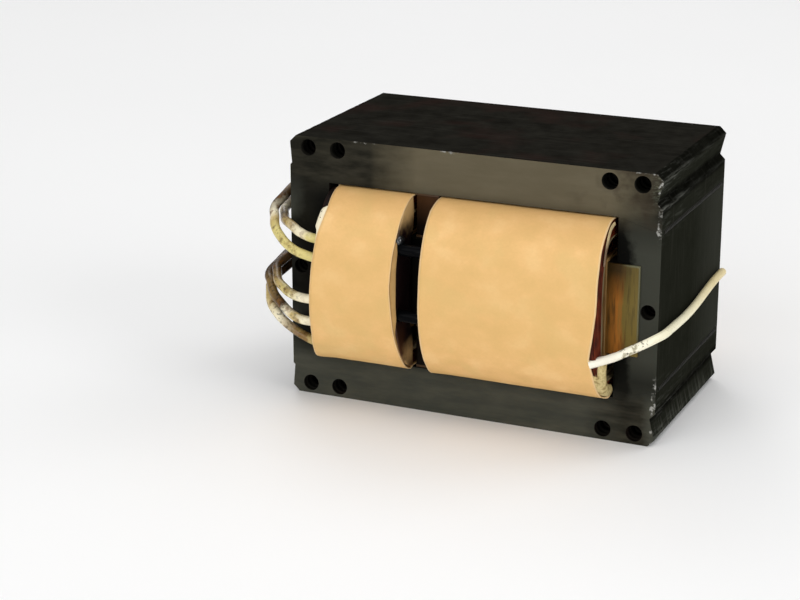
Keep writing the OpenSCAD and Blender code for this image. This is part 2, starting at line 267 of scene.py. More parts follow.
upper = add_node(tree, "ShaderNodeMath", {0: level, 1: 0.0}, operation="GREATER_THAN").outputs[0]
leg = add_node(tree, "ShaderNodeMix", {0: upper, 6: tone["bottom"], 7: tone["top"]}, data_type="RGBA").outputs[2]
reach = add_node(tree, "ShaderNodeMath", {0: level}, operation="ABSOLUTE").outputs[0]
at_leg = add_node(tree, "ShaderNodeMapRange", {"Value": reach, "From Min": 0.03, "From Max": 0.042},
                  interpolation_type="SMOOTHSTEP").outputs[0]
face = add_node(tree, "ShaderNodeMix", {0: at_leg, 6: tone["yokes"], 7: leg}, data_type="RGBA").outputs[2]
# The yokes go darker towards the legs, and the left one is painted black halfway up beside the coil, as shadow
# behind the leads
low_yoke = add_node(tree, "ShaderNodeMapRange", {"Value": level, "From Min": -0.02, "From Max": -0.03,
                                                 "To Max": 0.7}).outputs[0]
high_yoke = add_node(tree, "ShaderNodeMapRange", {"Value": level, "From Min": 0.024, "From Max": 0.034,
                                                  "To Max": 0.45}).outputs[0]
end_yokes = add_node(tree, "ShaderNodeMath", {0: low_yoke, 1: high_yoke}, operation="ADD").outputs[0]
clear_of_leg = add_node(tree, "ShaderNodeMath", {0: 1.0, 1: at_leg}, operation="SUBTRACT").outputs[0]
darker_to_legs = add_node(tree, "ShaderNodeMath", {0: end_yokes, 1: clear_of_leg}, operation="MULTIPLY").outputs[0]
darkened_face = add_node(tree, "ShaderNodeMix", {0: darker_to_legs, 6: face, 7: linear("#0f0f0b")}, data_type="RGBA").outputs[2]
at_left = add_node(tree, "ShaderNodeMapRange", {"Value": axes["X"], "From Min": -0.058,
                                                "From Max": -0.066}).outputs[0]
halfway = add_node(tree, "ShaderNodeMapRange", {"Value": reach, "From Min": 0.018, "From Max": 0.008,
                                                "To Max": 0.85}).outputs[0]
lead_shadow = add_node(tree, "ShaderNodeMath", {0: at_left, 1: halfway}, operation="MULTIPLY").outputs[0]
darkened_face = add_node(tree, "ShaderNodeMix", {0: lead_shadow, 6: darkened_face, 7: linear("#0b0906")}, data_type="RGBA").outputs[2]
# Brown smears of varnish on the top leg, near its right-hand holes
smear = add_node(tree, "ShaderNodeTexNoise", {"Vector": place, "Scale": 1 / (10 * MM),
                                              "Detail": 4.0}).outputs["Fac"]
smeared = add_node(tree, "ShaderNodeMapRange", {"Value": smear, "From Min": 0.46, "From Max": 0.64,
                                                "To Max": 0.75}).outputs[0]
at_right = add_node(tree, "ShaderNodeMapRange", {"Value": axes["X"], "From Min": 0.04,
                                                 "From Max": 0.062}).outputs[0]
for part in (at_right, upper, at_leg):
    smeared = add_node(tree, "ShaderNodeMath", {0: smeared, 1: part}, operation="MULTIPLY").outputs[0]
darkened_face = add_node(tree, "ShaderNodeMix", {0: smeared, 6: darkened_face, 7: linear("#2a2018")}, data_type="RGBA").outputs[2]
# Wiping marks along the legs, and slanted flecks at the upper right-hand corner
brush = add_node(tree, "ShaderNodeMapping", {"Vector": place, "Scale": (1 / (22 * MM), 1.0, 1 / (5 * MM))})
wiped = add_node(tree, "ShaderNodeTexNoise", {"Vector": brush.outputs[0], "Scale": 1.0, "Detail": 5.0,
                                              "Roughness": 0.6})
thin = add_node(tree, "ShaderNodeMapRange", {"Value": wiped.outputs["Fac"], "From Min": 0.4, "From Max": 0.75,
                                             "To Max": 0.16}).outputs[0]
on_leg = add_node(tree, "ShaderNodeMath", {0: thin, 1: at_leg}, operation="MULTIPLY").outputs[0]
brushed = add_node(tree, "ShaderNodeMix", {0: on_leg, 6: darkened_face, 7: linear("#7a7462")},
                   data_type="RGBA").outputs[2]
slant = add_node(tree, "ShaderNodeMapping", {"Vector": place, "Rotation": (0.0, math.radians(-55), 0.0),
                                             "Scale": (1 / (2.4 * MM), 1.0, 1 / (0.7 * MM))})
fleck = add_node(tree, "ShaderNodeTexNoise", {"Vector": slant.outputs[0], "Scale": 1.0, "Detail": 5.0,
                                              "Roughness": 0.65}).outputs["Fac"]
flecked = add_node(tree, "ShaderNodeMapRange", {"Value": fleck, "From Min": 0.48, "From Max": 0.68,
                                                "To Max": 0.6}).outputs[0]
for axis, start, end in (("X", 0.0755, 0.0795), ("Z", 0.098, 0.107)):
    near = add_node(tree, "ShaderNodeMapRange", {"Value": axes[axis], "From Min": start,
                                                 "From Max": end}).outputs[0]
    flecked = add_node(tree, "ShaderNodeMath", {0: flecked, 1: near}, operation="MULTIPLY").outputs[0]
brushed = add_node(tree, "ShaderNodeMix", {0: flecked, 6: brushed, 7: linear("#7a7e6c")},
                   data_type="RGBA").outputs[2]
chipped = add_node(tree, "ShaderNodeMix", {0: knocked_off(tree, place, axes), 6: brushed,
                                           7: bare_steel(tree, place)},
                   data_type="RGBA").outputs[2]
rough = add_node(tree, "ShaderNodeMapRange", {"Value": cloud, "From Min": 0.3, "From Max": 0.7, "To Min": 0.42,
                                              "To Max": 0.58}).outputs[0]
feed(shader, {"Base Color": chipped, "Roughness": rough})

# Sheet edges: matt, clouded, and scuffed grey by handling at the right-hand end
sheet_edges, tree, shader = start_material("varnished_sheet_edges", {"Specular IOR Level": 0.0})
place = add_node(tree, "ShaderNodeTexCoord", {}).outputs["Object"]
axes = add_node(tree, "ShaderNodeSeparateXYZ", {"Vector": place}).outputs
cloud = add_node(tree, "ShaderNodeTexNoise", {"Vector": place, "Scale": 1 / (9 * MM), "Detail": 7.0,
                                              "Roughness": 0.65}).outputs["Fac"]
clouded = add_node(tree, "ShaderNodeMapRange", {"Value": cloud, "From Min": 0.3, "From Max": 0.7}).outputs[0]
base = add_node(tree, "ShaderNodeMix", {0: clouded, 6: linear("#161512"), 7: linear("#24231f")},
                data_type="RGBA").outputs[2]
haze = add_node(tree, "ShaderNodeTexNoise", {"Vector": place, "Scale": 1 / (24 * MM),
                                             "Detail": 3.0}).outputs["Fac"]
hazy = add_node(tree, "ShaderNodeMapRange", {"Value": haze, "From Min": 0.5, "From Max": 0.68,
                                             "To Max": 0.5}).outputs[0]
base = add_node(tree, "ShaderNodeMix", {0: hazy, 6: base, 7: linear("#2b1e1b")}, data_type="RGBA").outputs[2]
at_end = add_node(tree, "ShaderNodeMath", {0: axes["X"], 1: 0.0775}, operation="GREATER_THAN").outputs[0]
level = add_node(tree, "ShaderNodeMath", {0: axes["Z"], 1: -CORE_MIDDLE.z}, operation="ADD").outputs[0]
reach = add_node(tree, "ShaderNodeMath", {0: level}, operation="ABSOLUTE").outputs[0]
# At the right-hand end the notches are painted black as shade, the chamfers are black as well, and the bands
# between them are dark grey
BAND_GREY = "#1d1e18"
BANDS_MM = ((40, BAND_GREY), (41.8, BLACK_AND_SHADE), (46, BLACK_AND_SHADE), (48, BAND_GREY), (53, BAND_GREY), (55, BLACK_AND_SHADE))
band = add_node(tree, "ShaderNodeMapRange", {"Value": reach, "From Max": CORE_MIDDLE.z}).outputs[0]
banded = add_node(tree, "ShaderNodeValToRGB", {"Fac": band}, stops=[
    (mm * MM / CORE_MIDDLE.z, colour) for mm, colour in BANDS_MM]).outputs[0]
thinned = add_node(tree, "ShaderNodeMath", {0: clouded, 1: 0.2}, operation="MULTIPLY").outputs[0]
banded = add_node(tree, "ShaderNodeMix", {0: thinned, 6: banded, 7: linear("#30312a")}, data_type="RGBA").outputs[2]
# The yoke's end goes lighter grey towards its rear
grey_drift = add_node(tree, "ShaderNodeMapRange", {"Value": axes["Y"], "From Min": 0.0, "From Max": 0.035,
                                             "To Max": 0.65}).outputs[0]
inside = add_node(tree, "ShaderNodeMapRange", {"Value": reach, "From Min": 0.036, "From Max": 0.032}).outputs[0]
grey_drift = add_node(tree, "ShaderNodeMath", {0: grey_drift, 1: inside}, operation="MULTIPLY").outputs[0]
greyed_rear = add_node(tree, "ShaderNodeMix", {0: grey_drift, 6: banded, 7: linear("#383933")}, data_type="RGBA").outputs[2]
base = add_node(tree, "ShaderNodeMix", {0: at_end, 6: base, 7: greyed_rear}, data_type="RGBA").outputs[2]
# Streaks drawn three times as wide as a sheet, so that they show
sheets = add_node(tree, "ShaderNodeMapping", {"Vector": place, "Scale": (28.0, 1 / (1.5 * MM), 28.0)})
streak = add_node(tree, "ShaderNodeTexNoise", {"Vector": sheets.outputs[0], "Scale": 1.0, "Detail": 4.0})
rubbed = add_node(tree, "ShaderNodeMapRange", {"Value": streak.outputs["Fac"], "From Min": 0.55, "From Max": 0.8,
                                               "To Max": 0.3}).outputs[0]
streaked = add_node(tree, "ShaderNodeMix", {0: rubbed, 6: base, 7: linear("#3c3a35")}, data_type="RGBA").outputs[2]
drag = add_node(tree, "ShaderNodeMapping", {"Vector": place,
                                            "Scale": (1 / (1.5 * MM), 1 / (12 * MM), 1 / (1.0 * MM))})
dragged = add_node(tree, "ShaderNodeTexNoise", {"Vector": drag.outputs[0], "Scale": 1.0, "Detail": 6.0,
                                                "Roughness": 0.65})
scrape = add_node(tree, "ShaderNodeMapRange", {"Value": dragged.outputs["Fac"], "From Min": 0.52, "From Max": 0.78,
                                               "To Max": 0.45}).outputs[0]
outer = add_node(tree, "ShaderNodeMapRange", {"Value": reach, "From Min": 0.027, "From Max": 0.034}).outputs[0]
fade = add_node(tree, "ShaderNodeMapRange", {"Value": axes["Y"], "From Min": -0.044, "From Max": -0.005,
                                             "To Min": 1.6, "To Max": 0.3}).outputs[0]
bare = scrape
for part in (at_end, outer, fade):
    bare = add_node(tree, "ShaderNodeMath", {0: bare, 1: part}, operation="MULTIPLY").outputs[0]
scuffed = add_node(tree, "ShaderNodeMix", {0: bare, 6: streaked, 7: linear("#5a5b55")}, data_type="RGBA").outputs[2]
# The lower rim is rubbed where the core was dragged over benches
dragged_rim = add_node(tree, "ShaderNodeMapRange", {"Value": axes["Z"], "From Min": 0.010,
                                                    "From Max": 0.002}).outputs[0]
combed = add_node(tree, "ShaderNodeMapRange", {"Value": streak.outputs["Fac"], "From Min": 0.46, "From Max": 0.62,
                                               "To Max": 0.75}).outputs[0]
rubbed_rim = at_end
for part in (dragged_rim, combed):
    rubbed_rim = add_node(tree, "ShaderNodeMath", {0: rubbed_rim, 1: part}, operation="MULTIPLY").outputs[0]
scuffed = add_node(tree, "ShaderNodeMix", {0: rubbed_rim, 6: scuffed, 7: linear("#4c4d46")},
                   data_type="RGBA").outputs[2]
# The ridges above and below the notches stand furthest out: worn through, and painted lighter as the highlight they
# catch
lit_worn_ridge = add_node(tree, "ShaderNodeMapRange", {"Value": axes["X"], "From Min": 0.0806,
                                              "From Max": 0.0813}).outputs[0]
notched = add_node(tree, "ShaderNodeMapRange", {"Value": reach, "From Min": 0.0415, "From Max": 0.0425}).outputs[0]
rub = add_node(tree, "ShaderNodeMapRange", {"Value": dragged.outputs["Fac"], "From Min": 0.4, "From Max": 0.7,
                                            "To Max": 0.45}).outputs[0]
worn = lit_worn_ridge
for part in (notched, rub, fade):
    worn = add_node(tree, "ShaderNodeMath", {0: worn, 1: part}, operation="MULTIPLY").outputs[0]
scuffed = add_node(tree, "ShaderNodeMix", {0: worn, 6: scuffed, 7: linear("#6d6e67")}, data_type="RGBA").outputs[2]
chipped = add_node(tree, "ShaderNodeMix", {0: knocked_off(tree, place, axes), 6: scuffed,
                                           7: bare_steel(tree, place)},
                   data_type="RGBA").outputs[2]
ridges = add_node(tree, "ShaderNodeBump", {"Height": streak.outputs["Fac"], "Strength": 0.15,
                                           "Distance": 0.15 * MM})
feed(shader, {"Base Color": chipped, "Roughness": 0.6, "Normal": ridges.outputs[0]})

lamination_stack("top_leg_stack", "top_leg", "core_steel", 1)
lamination_stack("bottom_leg_stack", "bottom_leg", "core_steel", 2)
lamination_stack("tongue_stack", "tongue_and_yoke", "core_steel", 3)
lamination_stack("right_yoke_stack", "right_yoke", "core_steel", 4)

# Weld beads: one arc-welded run along the mouth of each slanted joint, varnished with the core.
# The pool froze in overlapping ripples, so the bead swells and thins along its length.
RIPPLE_MM = 1.7
RIPPLE_SWELL = 0.10
BEAD_SIDES = 14

# Weld metal under the core's varnish: dark, crusted and hardly glossy
weld_metal, tree, shader = start_material("varnished_weld", {"Specular IOR Level": 0.04, "Roughness": 0.5})
place = add_node(tree, "ShaderNodeTexCoord", {}).outputs["Object"]
crust = add_node(tree, "ShaderNodeTexNoise", {"Vector": place, "Scale": 1 / (3 * MM), "Detail": 3.0})
tone = add_node(tree, "ShaderNodeMix", {0: crust.outputs["Fac"], 6: linear("#0e0e0b"), 7: linear("#262520")},
                data_type="RGBA")
feed(shader, {"Base Color": tone.outputs[2]})

for name in ("weld_top_left", "weld_top_right", "weld_bottom_left", "weld_bottom_right"):
    low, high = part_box(name)
    middle = (low + high) / 2
    radius = (high.z - low.z) / 2
    rings = int((high.y - low.y) / (RIPPLE_MM * MM) * 6)
    bm = bmesh.new()
    bmesh.ops.create_cone(bm, cap_ends=True, segments=BEAD_SIDES, radius1=radius, radius2=radius,
                          depth=high.y - low.y)
    long_edges = [e for e in bm.edges if abs(e.verts[0].co.z - e.verts[1].co.z) > MM]
    bmesh.ops.subdivide_edges(bm, edges=long_edges, cuts=rings, use_grid_fill=True)
    for v in bm.verts:
        ripple = math.sin(math.tau * v.co.z / (RIPPLE_MM * MM)) + noise.noise(v.co * 300 + middle * 90)
        swell = 1 + RIPPLE_SWELL * (0.6 * ripple - 0.4)
        v.co = Vector((v.co.x * swell, v.co.z, v.co.y * swell)) + middle
    bmesh.ops.recalc_face_normals(bm, faces=bm.faces)
    bead = add_piece(name + "_bead", bm, weld_metal, "weld_metal", name)
    bead.data.shade_smooth()
    bead.data.set_sharp_from_angle(angle=math.radians(50))

# Shunts: two short stacks of the same steel, slid between the coils above and below the tongue.
# Board spacers hold each one off the core, and the varnish there has run thick and red-brown.
shunt_varnish, tree, shader = start_material("thick_brown_varnish", {"Specular IOR Level": 0.06, "Roughness": 0.4})
place = add_node(tree, "ShaderNodeTexCoord", {}).outputs["Object"]
runs = add_node(tree, "ShaderNodeMapping", {"Vector": place, "Scale": (1 / (4 * MM), 1 / (4 * MM), 1 / (14 * MM))})
drip = add_node(tree, "ShaderNodeTexNoise", {"Vector": runs.outputs[0], "Scale": 1.0, "Detail": 3.0})
tone = add_node(tree, "ShaderNodeMix", {0: drip.outputs["Fac"], 6: linear("#22140a"), 7: linear("#4a2e16")},
                data_type="RGBA")
axes = add_node(tree, "ShaderNodeSeparateXYZ", {"Vector": place}).outputs
# Painted shade: the varnish goes nearly black from the upper shunt's top downwards, and over the whole lower shunt,
# deep between the coils
gap_shade = add_node(tree, "ShaderNodeMapRange", {"Value": axes["Z"], "From Min": 0.092, "From Max": 0.081,
                                                "To Max": 0.95}).outputs[0]
darkened = add_node(tree, "ShaderNodeMix", {0: gap_shade, 6: tone.outputs[2], 7: linear("#080503")}, data_type="RGBA")
feed(shader, {"Base Color": darkened.outputs[2]})
for name in ("upper_shunt", "lower_shunt"):
    add_piece(name + "_stack", rounded_copy(name, EDGE_ROUND), shunt_varnish, "shunt_steel", name)


def finish_node(name, material):
    """Gives a node that shows as it is its finish."""
    nodes[name].data.materials.clear()
    nodes[name].data.materials.append(material)


# Board soaked by varnish: brown, darker in clouds, half matt
spacer_board, tree, shader = start_material("varnished_spacer_board", {"Specular IOR Level": 0.3, "Roughness": 0.5})
place = add_node(tree, "ShaderNodeTexCoord", {}).outputs["Object"]
patch_mask = add_node(tree, "ShaderNodeTexNoise", {"Vector": place, "Scale": 1 / (6 * MM), "Detail": 4.0})
tone = add_node(tree, "ShaderNodeMix", {0: patch_mask.outputs["Fac"], 6: linear("#2a1a0d"), 7: linear("#5c3f20")},
                data_type="RGBA")
feed(shader, {"Base Color": tone.outputs[2]})
for name in ("upper_spacers", "lower_spacers"):
    finish_node(name, spacer_board)

# Coil tubes: square paper tubes that the coils were wound on, rolled from kraft board and glued.
# Only their ends show, inside each coil, stained by the varnish.
tube_board, tree, shader = start_material("kraft_tube_board", {"Specular IOR Level": 0.3, "Roughness": 0.6})
place = add_node(tree, "ShaderNodeTexCoord", {}).outputs["Object"]
patch_mask = add_node(tree, "ShaderNodeTexNoise", {"Vector": place, "Scale": 1 / (9 * MM), "Detail": 4.0})
tone = add_node(tree, "ShaderNodeMix", {0: patch_mask.outputs["Fac"], 6: linear("#5a3d1d"), 7: linear("#a98550")},
                data_type="RGBA")
feed(shader, {"Base Color": tone.outputs[2]})
for name in ("left_tube", "right_tube"):
    finish_node(name, tube_board)

# Windings: enamelled copper wire laid in close layers, each coil with an inner and an outer winding.
# The body of a winding is soaked dark with varnish, and at its ends the last turns of each layer show:
# the right coil's outer layers are crowded towards the right.
WIRE_LAYERS = 10
TURN_POINTS = 120
TURN_PROUD = 0.3 * MM
SQUARENESS = {"tube": 8, "inner_winding": 3, "layer_paper": 3, "outer_winding": 2, "wrap": 2}


def shell_of(coil, layer):
    """A coil layer's outside: reach past the stack, half height and squareness of its rounded front."""
    low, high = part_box(f"{coil}_{layer}")
    return np.array((high.y - HALF_DEPTH, (high.z - low.z) / 2, SQUARENESS[layer]))


def nose_point(shell, angle):
    """Point on a coil shell's rounded front: the angle is 90 degrees at its top and -90 at its bottom."""
    reach, rise, square = shell
    y = -HALF_DEPTH - reach * abs(math.cos(angle)) ** (2 / square)
    z = math.copysign(rise * abs(math.sin(angle)) ** (2 / square), angle)
    return Vector((0, y, z + CORE_MIDDLE.z))


def around(shell, share):
    """Point on a coil shell, a share of a turn from the middle of its top towards the front."""
    reach, rise, _ = shell
    nose = math.pi * math.hypot(reach, rise) / math.sqrt(2)
    half_lap = 2 * HALF_DEPTH + nose
    run = share % 1 * 2 * half_lap
    behind = run >= half_lap
    run -= half_lap * behind
    if run < HALF_DEPTH:
        point = Vector((0, -run, CORE_MIDDLE.z + rise))
    elif run < HALF_DEPTH + nose:
        point = nose_point(shell, math.pi / 2 - math.pi * (run - HALF_DEPTH) / nose)
    else:
        point = Vector((0, run - 2 * HALF_DEPTH - nose, CORE_MIDDLE.z - rise))
    return 2 * Vector((0, 0, CORE_MIDDLE.z)) - point if behind else point


def enamelled_copper(name, dark, bright):
    """Polyester enamel over copper: red-brown and glossy, clouded by baked varnish, and painted near-black at the
    left coil's left end as shadow in the window.
    """
    made, tree, shader = start_material(name, {"Specular IOR Level": 0.15, "Metallic": 0.2, "Roughness": 0.4})
    place = add_node(tree, "ShaderNodeTexCoord", {}).outputs["Object"]
    bake = add_node(tree, "ShaderNodeTexNoise", {"Vector": place, "Scale": 1 / (7 * MM), "Detail": 4.0})
    spread = add_node(tree, "ShaderNodeMapRange", {"Value": bake.outputs["Fac"], "From Min": 0.35,
                                                   "From Max": 0.65})
    tone = add_node(tree, "ShaderNodeMix", {0: spread.outputs[0], 6: linear(dark), 7: linear(bright)},
                    data_type="RGBA")
    axes = add_node(tree, "ShaderNodeSeparateXYZ", {"Vector": place}).outputs
    # Painted shadow: near-black at the left coil's left end, where the winding shows in the dark window
    darkening_mask = add_node(tree, "ShaderNodeMapRange", {"Value": axes["X"], "From Min": -0.057, "From Max": -0.05,
                                                   "To Min": 0.92, "To Max": 0.0})
    soaked = add_node(tree, "ShaderNodeMix", {0: darkening_mask.outputs[0], 6: tone.outputs[2], 7: linear("#0b0907")},
                      data_type="RGBA")
    feed(shader, {"Base Color": soaked.outputs[2]})
    return made


soaked_winding = enamelled_copper("varnish_soaked_winding", "#2a0f0a", "#4a1c10")
bright_turns = enamelled_copper("enamelled_copper_turns", "#3c1206", "#6e2b12")

for coil in ("left", "right"):
    for layer, inside in (("inner_winding", "tube"), ("outer_winding", "layer_paper")):
        name = f"{coil}_{layer}"
        finish_node(name, soaked_winding)
        low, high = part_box(name)
        inner, outer = shell_of(coil, inside), shell_of(coil, layer)
        turns = bpy.data.curves.new(name + "_turns", "CURVE")
        turns.dimensions = "3D"
        turns.bevel_depth = (outer[1] - inner[1]) / WIRE_LAYERS / 2
        turns.bevel_resolution = 1
        rng = np.random.default_rng(len(name))
        crowded = 2 if name == "right_outer_winding" else 1
        for end, out, turn in ((low.x, -1, 0), *[(high.x, 1, k) for k in range(crowded)]):
            for i in range(WIRE_LAYERS):
                path = inner + (outer - inner) * (i + 0.4) / WIRE_LAYERS
                x = end + out * (TURN_PROUD + (2 * turn - 1) * turns.bevel_depth - rng.uniform(0, 0.3) * MM)
                spline = turns.splines.new("POLY")
                spline.points.add(TURN_POINTS - 1)
                spline.use_cyclic_u = True
                for k, point in enumerate(spline.points):
                    spot = around(path, k / TURN_POINTS)
                    wander = noise.noise(spot * 40 + Vector((i * 3.1, 0, end * 50)))
                    point.co = (x + 0.2 * MM * wander, spot.y, spot.z, 1)
        piece = bpy.data.objects.new(name + "_turns", turns)
        scene.collection.objects.link(piece)
        turns.materials.append(bright_turns)
        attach(piece, "root")

# Layer papers: sheets of cream insulating paper wound between the windings of each coil.
# Each is wider than the wire, so its raw edge stands out at the coil's ends, curled and stained.
SHEET_STEP = 1.6 * MM
TURN_STEPS = 260
PAPER_PLY = 0.4 * MM
EDGE_RETURN = 6 * MM


def edge_line(plain, wander, seed, drawn=()):
    """A sheet's edge: at plain, wandering a little, and on the front drawn through (height, place) in mm."""
    heights = [p[0] * MM for p in reversed(drawn)] or [0]
    places = [p[1] * MM for p in reversed(drawn)] or [plain]

    def edge(point):
        behind = max(0.0, min(1.0, (point.y + HALF_DEPTH) / EDGE_RETURN))
        front = float(np.interp(point.z, heights, places))
        return front + (plain - front) * behind + wander * noise.noise(Vector((seed, point.y * 90, point.z * 90)))
    return edge


def wound_sheet(name, shell, edges, ply, waves, material, slot, *stands_for, lap=0.0, start=0.72, sag=0.0,
                corner_lift=0.0):
    """A sheet of paper wound once round a coil shell between two edges, its end lapped over its start.

    At the bottom of its front it may sag, and lift more at its left corner."""
    left, right = edges
    middle = around(shell, start)
    bm = bmesh.new()
    bm.loops.layers.uv.new("sheet")
    bmesh.ops.create_grid(bm, x_segments=int((right(middle) - left(middle)) / SHEET_STEP), y_segments=TURN_STEPS,
                          size=0.5, calc_uvs=True)
    bmesh.ops.reverse_faces(bm, faces=bm.faces)
    shift = Vector((shell[0], 3 * shell[1], ply)) * 1000
    for v in bm.verts:
        across, along = v.co.x + 0.5, (v.co.y + 0.5) * (1 + lap)
        point = around(shell, start + along)
        ahead = around(shell, start + along + 0.002) - point
        outward = Vector((0, ahead.z, -ahead.y)).normalized()
        x = left(point) + (right(point) - left(point)) * across
        spot = Vector((x, point.y, point.z))
        climb = max(0.0, min(1.0, (along - 0.98) / 0.02)) * ply if lap else 0.0
        swell = waves * (noise.noise(spot * 55 + shift) + 0.4 * noise.noise(spot * 140 + shift) - 1)
        low = max(0.0, min(1.0, (25 * MM - point.z) / (5 * MM)))
        ahead_of_core = max(0.0, min(1.0, (-HALF_DEPTH - point.y) / (2 * MM)))
        loose = low * ahead_of_core * (sag + corner_lift * max(0.0, 1 - (x - left(point)) / (7 * MM)))
        v.co = spot + outward * (swell + climb + loose)
    piece = add_piece(name, bm, material, slot, *stands_for)
    wall = piece.modifiers.new("ply", "SOLIDIFY")
    wall.thickness = ply
    wall.offset = -1
    piece.data.shade_smooth()
    return piece


# Insulating paper: matt cream, tanned in clouds by varnish, dirtier at the right-hand end
cream_paper, tree, shader = start_material("cream_insulating_paper", {"Specular IOR Level": 0.25, "Roughness": 0.7})
place = add_node(tree, "ShaderNodeTexCoord", {}).outputs["Object"]
stain = add_node(tree, "ShaderNodeTexNoise", {"Vector": place, "Scale": 1 / (5 * MM), "Detail": 5.0})
spread = add_node(tree, "ShaderNodeMapRange", {"Value": stain.outputs["Fac"], "From Min": 0.35, "From Max": 0.7})
tone = add_node(tree, "ShaderNodeMix", {0: spread.outputs[0], 6: linear("#dccda6"), 7: linear("#9a8055")},
                data_type="RGBA")
axes = add_node(tree, "ShaderNodeSeparateXYZ", {"Vector": place}).outputs
toned_by_place = add_node(tree, "ShaderNodeMath", {0: axes["X"], 1: 0.06}, operation="GREATER_THAN")
dirtied = add_node(tree, "ShaderNodeMix", {0: toned_by_place.outputs[0], 6: tone.outputs[2], 7: linear("#6f6246")},
                   data_type="RGBA")
feed(shader, {"Base Color": dirtied.outputs[2]})

for coil in ("left", "right"):
    name = f"{coil}_layer_paper"
    low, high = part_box(name)
    shell = shell_of(coil, "layer_paper")
    over = 0.6 * MM if coil == "right" else 0.0
    edges = edge_line(low.x, 0.5 * MM, 3), edge_line(high.x + over, 0.4 * MM, 8)
    wound_sheet(name + "_outer_sheet", shell, edges, PAPER_PLY, 0.05 * MM, cream_paper, "layer_paper", name)
    edges = edge_line(low.x, 0.5 * MM, 13), edge_line(high.x + over / 2, 0.4 * MM, 18)
    wound_sheet(name + "_inner_sheet", shell - np.array((0.55, 0.55, 0)) * MM, edges, PAPER_PLY, 0.05 * MM,
                cream_paper, "layer_paper")

# End folds: paper tape turned in over the coils' ends, where jumpers and leads come out.
# It soaked up most varnish in the middle, and stays brown and cream above and below.
FOLD_STEPS = (12, 70)


def end_fold(name, coil, x, bow, angles, inside, spans, material, tuck=0.0):
    """Tape over part of a coil's end: spans are the shares of the way out to the wrap that it covers, where it
    starts and where it ends, and tuck is how far it comes out from under the wrap."""
    inner, outer = shell_of(coil, inside), shell_of(coil, "outer_winding")
    if tuck:
        outer = outer + np.array((0.3, 0.3, 0)) * MM
    flat_part = 0.75 if tuck else 1.0
    bm = bmesh.new()
    bm.loops.layers.uv.new("sheet")
    bmesh.ops.create_grid(bm, x_segments=FOLD_STEPS[0], y_segments=FOLD_STEPS[1], size=0.5, calc_uvs=True)
    for v in bm.verts:
        across, along = v.co.x + 0.5, v.co.y + 0.5
        angle = math.radians(angles[0] + (angles[1] - angles[0]) * along)
        deep, shallow = [min(1.0, a + (b - a) * along) for a, b in zip(*spans)]
        flat = min(1.0, across / flat_part)
        spot = nose_point(inner, angle).lerp(nose_point(outer, angle), deep + (shallow - deep) * flat)
        crease = 0.35 * MM * noise.noise(Vector((x * 900, spot.y * 200, spot.z * 70)))
        back = tuck * max(0.0, across - flat_part) / (1 - flat_part) if tuck else 0.0
        bulge = bow * (1 - 0.6 * along) * math.sin(math.pi * flat)
        v.co = Vector((x + bulge + crease - back, spot.y, spot.z))
    bmesh.ops.recalc_face_normals(bm, faces=bm.faces)
    piece = add_piece(name, bm, material, "layer_paper")
    wall = piece.modifiers.new("ply", "SOLIDIFY")
    wall.thickness = PAPER_PLY
    wall.offset = 0
    piece.data.shade_smooth()
    return piece


# Tape between the coils: half matt, and stained by height
soaked_tape, tree, shader = start_material("varnish_soaked_tape", {"Specular IOR Level": 0.3, "Roughness": 0.5})
place = add_node(tree, "ShaderNodeTexCoord", {}).outputs["Object"]
axes = add_node(tree, "ShaderNodeSeparateXYZ", {"Vector": place}).outputs
bleed = add_node(tree, "ShaderNodeTexNoise", {"Vector": place, "Scale": 1 / (4 * MM),
                                              "Detail": 5.0}).outputs["Fac"]
drift = add_node(tree, "ShaderNodeMapRange", {"Value": bleed, "To Min": -4 * MM, "To Max": 4 * MM}).outputs[0]
height = add_node(tree, "ShaderNodeMath", {0: axes["Z"], 1: drift}, operation="ADD").outputs[0]
COIL_FOOT_MM, COIL_TOP_MM = 19, 95
rise = add_node(tree, "ShaderNodeMapRange", {"Value": height, "From Min": COIL_FOOT_MM * MM,
                                             "From Max": COIL_TOP_MM * MM}).outputs[0]
# Paper, brown where varnish crept in and nearly black where it soaked through
DRY, CREPT, SOAKED = "#d2ab72", "#4a2a14", "#1c0c0e"
TAPE_TONES = {
    "outer": ((21, CREPT), (32, CREPT), (44, SOAKED), (80, SOAKED), (90, DRY)),
    "inner": ((20, CREPT), (27, DRY), (35, SOAKED), (79, SOAKED), (87, DRY)),
}
tone = {part: add_node(tree, "ShaderNodeValToRGB", {"Fac": rise},
                       stops=[((z - COIL_FOOT_MM) / (COIL_TOP_MM - COIL_FOOT_MM), colour)
                              for z, colour in stops]).outputs[0]
        for part, stops in TAPE_TONES.items()}
inward = add_node(tree, "ShaderNodeMath", {0: axes["Y"], 1: drift}, operation="ADD").outputs[0]
deep = add_node(tree, "ShaderNodeMapRange", {"Value": inward, "From Min": -0.056, "From Max": -0.051}).outputs[0]
tape = add_node(tree, "ShaderNodeMix", {0: deep, 6: tone["outer"], 7: tone["inner"]}, data_type="RGBA").outputs[2]
feed(shader, {"Base Color": tape})
end_fold("left_coil_end_fold", "left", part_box("left_outer_winding")[1].x + 0.5 * MM, 0.5 * MM, (88, -88), "tube",
         ((0, 1), (0, 1)), soaked_tape)

